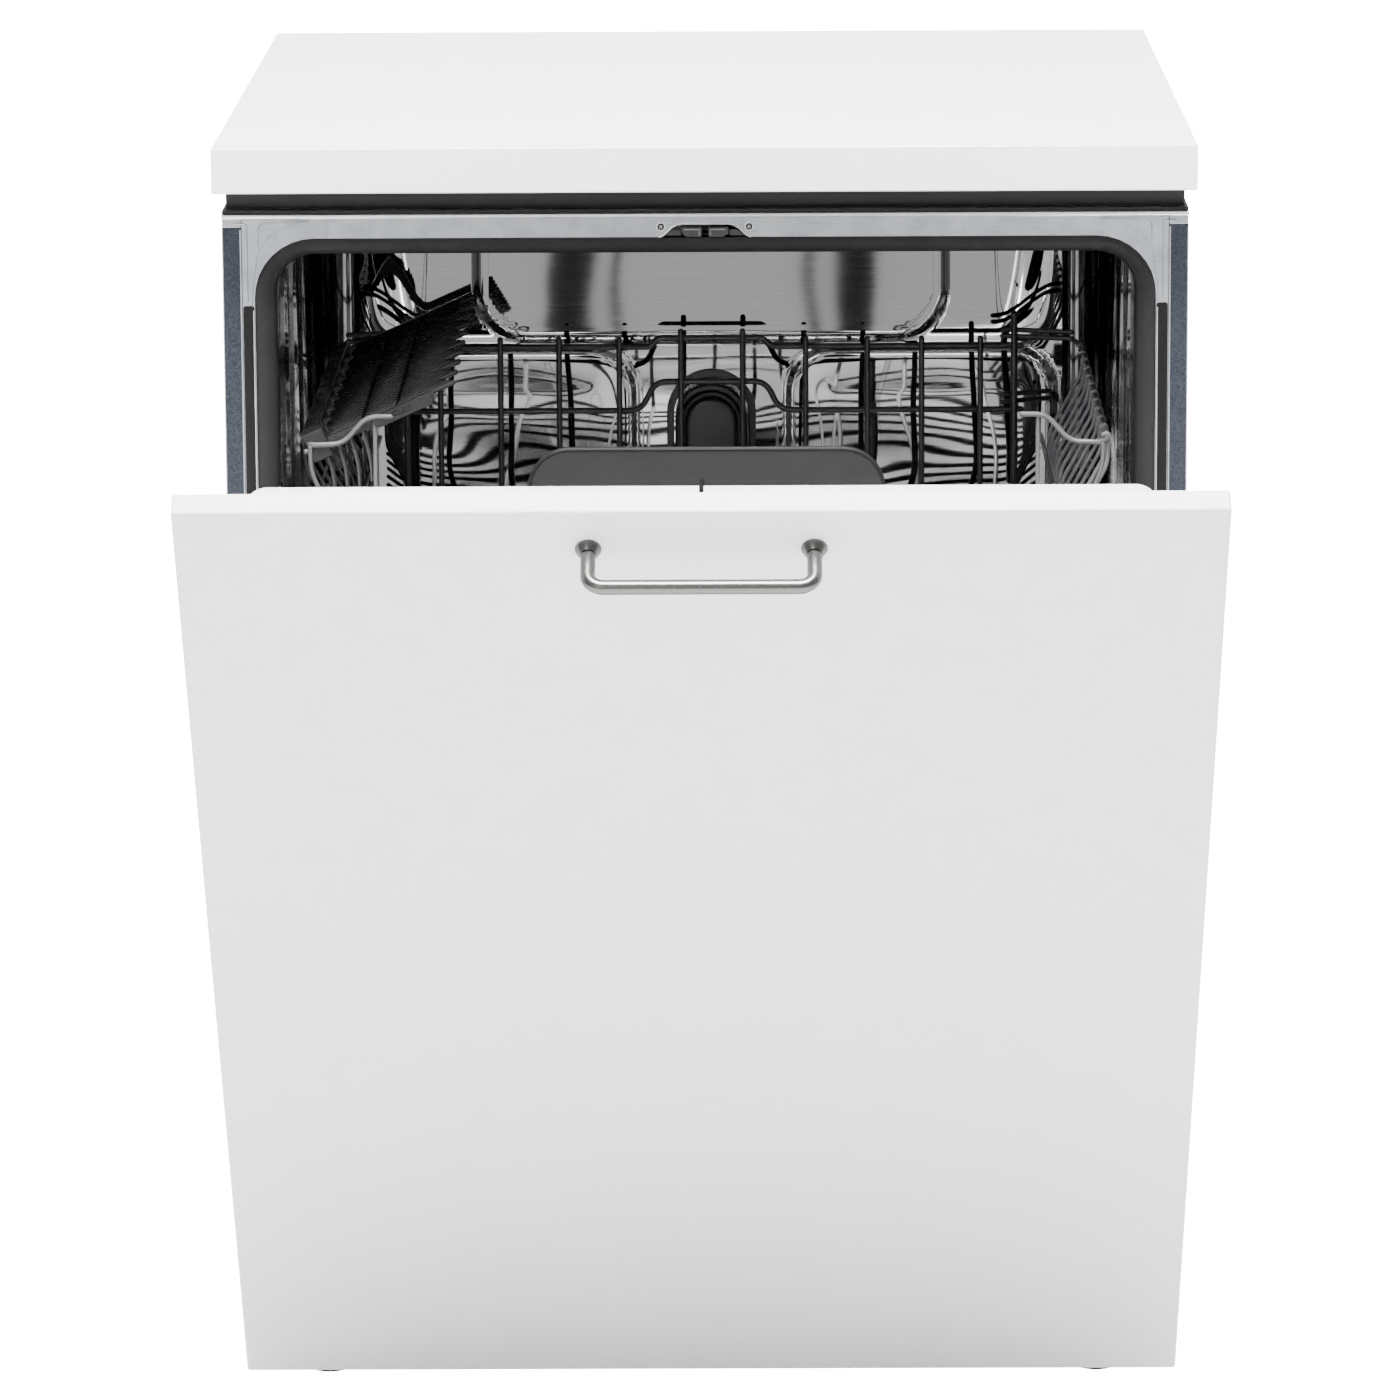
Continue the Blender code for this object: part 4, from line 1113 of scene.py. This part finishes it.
def make_front_panel():
    slab = block(-298.5, 298.5, -33, -17, 20, 817)
    piece("front_board", on_panel(slab), "front_panel", "front_laminate", "front_laminate",
        ("furniture_panel",), bevel=1.7, segments=4)
    # Height of the bar, half the distance between its rosettes, and how far out it stands.
    z, x, far = 787.0, 64.0, -63.0
    half = [(-x, -33.2, z)]
    half += [(px, py, z) for px, py in arc(-x + 9, far + 9, 9, 180, 270, 12)]
    path = half + [(-px, py, pz) for px, py, pz in reversed(half)]
    fine = []
    for a, b in zip(path, path[1:]):
        fine.append(a)
        if abs(a[0] - b[0]) > 40:
            fine += [tuple(Vector(a).lerp(Vector(b), k / 12)) for k in range(1, 12)]
    fine.append(path[-1])
    piece("pull_bar", on_panel(wire(fine, 4.3, 32, False)), "front_panel", "brushed_nickel", "nickel",
        ("handle_bar",), angle=60)
    for side, label in ((-1, "left"), (1, "right")):
        y = -33.1
        cone = [(7.6, y), (7.6, y - 0.9), (7.3, y - 1.5), (5.5, y - 4.6), (5.1, y - 5.1), (4.5, y - 5.1),
            (4.5, y)]
        piece("rosette_" + label, on_panel(turned(cone, "Y", (side * x, z), 48, True)), "front_panel",
            "brushed_nickel", "nickel", ("handle_rosette_" + label,), angle=50)


# --------------------- environment

SEEN_WHITE = 20.0
WORLD_STRENGTH = 1.25
SKY_STOPS = ((0.0, 0.52), (0.12, 0.50), (0.45, 0.60), (0.80, 1.0))
# Two dark upright gaps in the world, which the tub's back wall mirrors. The ramp reads
# the size of scale times X / Y plus shift.
STAND_SCALE = 20.0
STAND_SHIFT = -0.13
STAND_STOPS = ((0.255, 1.0), (0.262, 0.05), (0.282, 0.05), (0.289, 1.0),
               (0.33, 1.0), (0.343, 0.03), (0.452, 0.03), (0.465, 1.0))
# Name, place, aim, width in metres and power in watts.
LIGHTS = (("front", (-1.2, -4.4, 2.2), (0.0, -0.3, 0.55), 1.6, 40.0),
          ("top", (0.0, -1.2, 3.7), (0.0, -0.3, 0.6), 1.9, 830.0))
FLOOR_HALF = 9.0

CAMERA_PLACE = (0.0319, -4.450 + FRAME_Y * MM, 1.4115)
CAMERA_LENS = 186.5
CAMERA_TURNS = ((0.47, "Z"), (90.0 - 11.641, "X"), (-0.307, "Z"))


def glowing(nodes, shader, output):
    """The camera sees plain white where the object gets the shader's own light."""
    path = nodes.add("ShaderNodeLightPath")
    glow = nodes.add("ShaderNodeEmission", Strength=SEEN_WHITE)
    mix = nodes.add("ShaderNodeMixShader")
    nodes.link(path.outputs["Is Camera Ray"], mix.inputs["Fac"])
    nodes.link(shader, mix.inputs[1])
    nodes.link(glow.outputs["Emission"], mix.inputs[2])
    nodes.link(mix.outputs["Shader"], output.inputs["Surface"])


def make_floor():
    mesh = bpy.data.meshes.new("studio_floor")
    corners = [(-1, -1), (1, -1), (1, 1), (-1, 1)]
    mesh.from_pydata([(x * FLOOR_HALF, y * FLOOR_HALF, 0.0) for x, y in corners], [], [(0, 1, 2, 3)])
    floor = bpy.data.objects.new("studio_floor", mesh)
    bpy.context.scene.collection.objects.link(floor)
    mesh.materials.append(MATS["floor"])
    nodes = Nodes(MATS["floor"].node_tree)
    glowing(nodes, nodes.tree.nodes["Principled BSDF"].outputs["BSDF"], nodes.tree.nodes["Material Output"])


def make_world():
    world = bpy.data.worlds.new("studio")
    bpy.context.scene.world = world
    world.use_nodes = True
    nodes = Nodes(world.node_tree)
    where = nodes.add("ShaderNodeTexCoord")
    split = nodes.add("ShaderNodeSeparateXYZ")
    nodes.link(where.outputs["Generated"], split.inputs["Vector"])
    sky = nodes.ramp(split.outputs["Z"], [(at, grey(level)) for at, level in SKY_STOPS])
    across = nodes.calculate("DIVIDE", split.outputs["X"], split.outputs["Y"])
    shifted = nodes.calculate("MULTIPLY_ADD", across, STAND_SCALE, STAND_SHIFT)
    size = nodes.calculate("ABSOLUTE", shifted)
    gaps = nodes.ramp(size, [(at, grey(level)) for at, level in STAND_STOPS])
    # A colour mix keeps its colours in inputs 6 and 7 and in output 2.
    both = nodes.add("ShaderNodeMix", data_type="RGBA", blend_type="MULTIPLY", Factor=1.0)
    nodes.link(sky, both.inputs[6])
    nodes.link(gaps, both.inputs[7])
    background = nodes.tree.nodes["Background"]
    nodes.link(both.outputs[2], background.inputs["Color"])
    background.inputs["Strength"].default_value = WORLD_STRENGTH
    glowing(nodes, background.outputs["Background"], nodes.tree.nodes["World Output"])


def make_lights():
    for name, spot, aim, size, power in LIGHTS:
        data = bpy.data.lights.new(name, "AREA")
        data.energy = power
        data.shape = "RECTANGLE"
        data.size = size
        data.size_y = size * 0.8
        lamp = bpy.data.objects.new(name, data)
        bpy.context.scene.collection.objects.link(lamp)
        lamp.location = spot
        lamp.rotation_euler = (Vector(aim) - Vector(spot)).to_track_quat("-Z", "Y").to_euler()


def make_camera():
    data = bpy.data.cameras.new("camera")
    data.sensor_width = 36.0
    data.lens = CAMERA_LENS
    data.clip_end = 50.0
    camera = bpy.data.objects.new("camera", data)
    bpy.context.scene.collection.objects.link(camera)
    matrix = Matrix.Translation(CAMERA_PLACE)
    for angle, axis in CAMERA_TURNS:
        matrix = matrix @ Matrix.Rotation(math.radians(angle), 4, axis)
    camera.matrix_world = matrix
    bpy.context.scene.camera = camera


def main():
    make_materials()
    dress_cad()
    make_worktop()
    make_tub()
    make_front_frame()
    make_frame_details()
    make_duct()
    make_spray_arm("lower_spray_arm", 300, 177, 186, 161.2, 189)
    make_spray_arm("upper_spray_arm", 262, 477, 485, 474.2, 499.3)
    make_sump_parts()
    make_feet()
    make_upper_basket()
    make_cup_shelf()
    make_lower_basket()
    make_cutlery_basket()
    make_door()
    make_dispenser()
    make_front_panel()
    make_floor()
    make_world()
    make_lights()
    make_camera()


main()
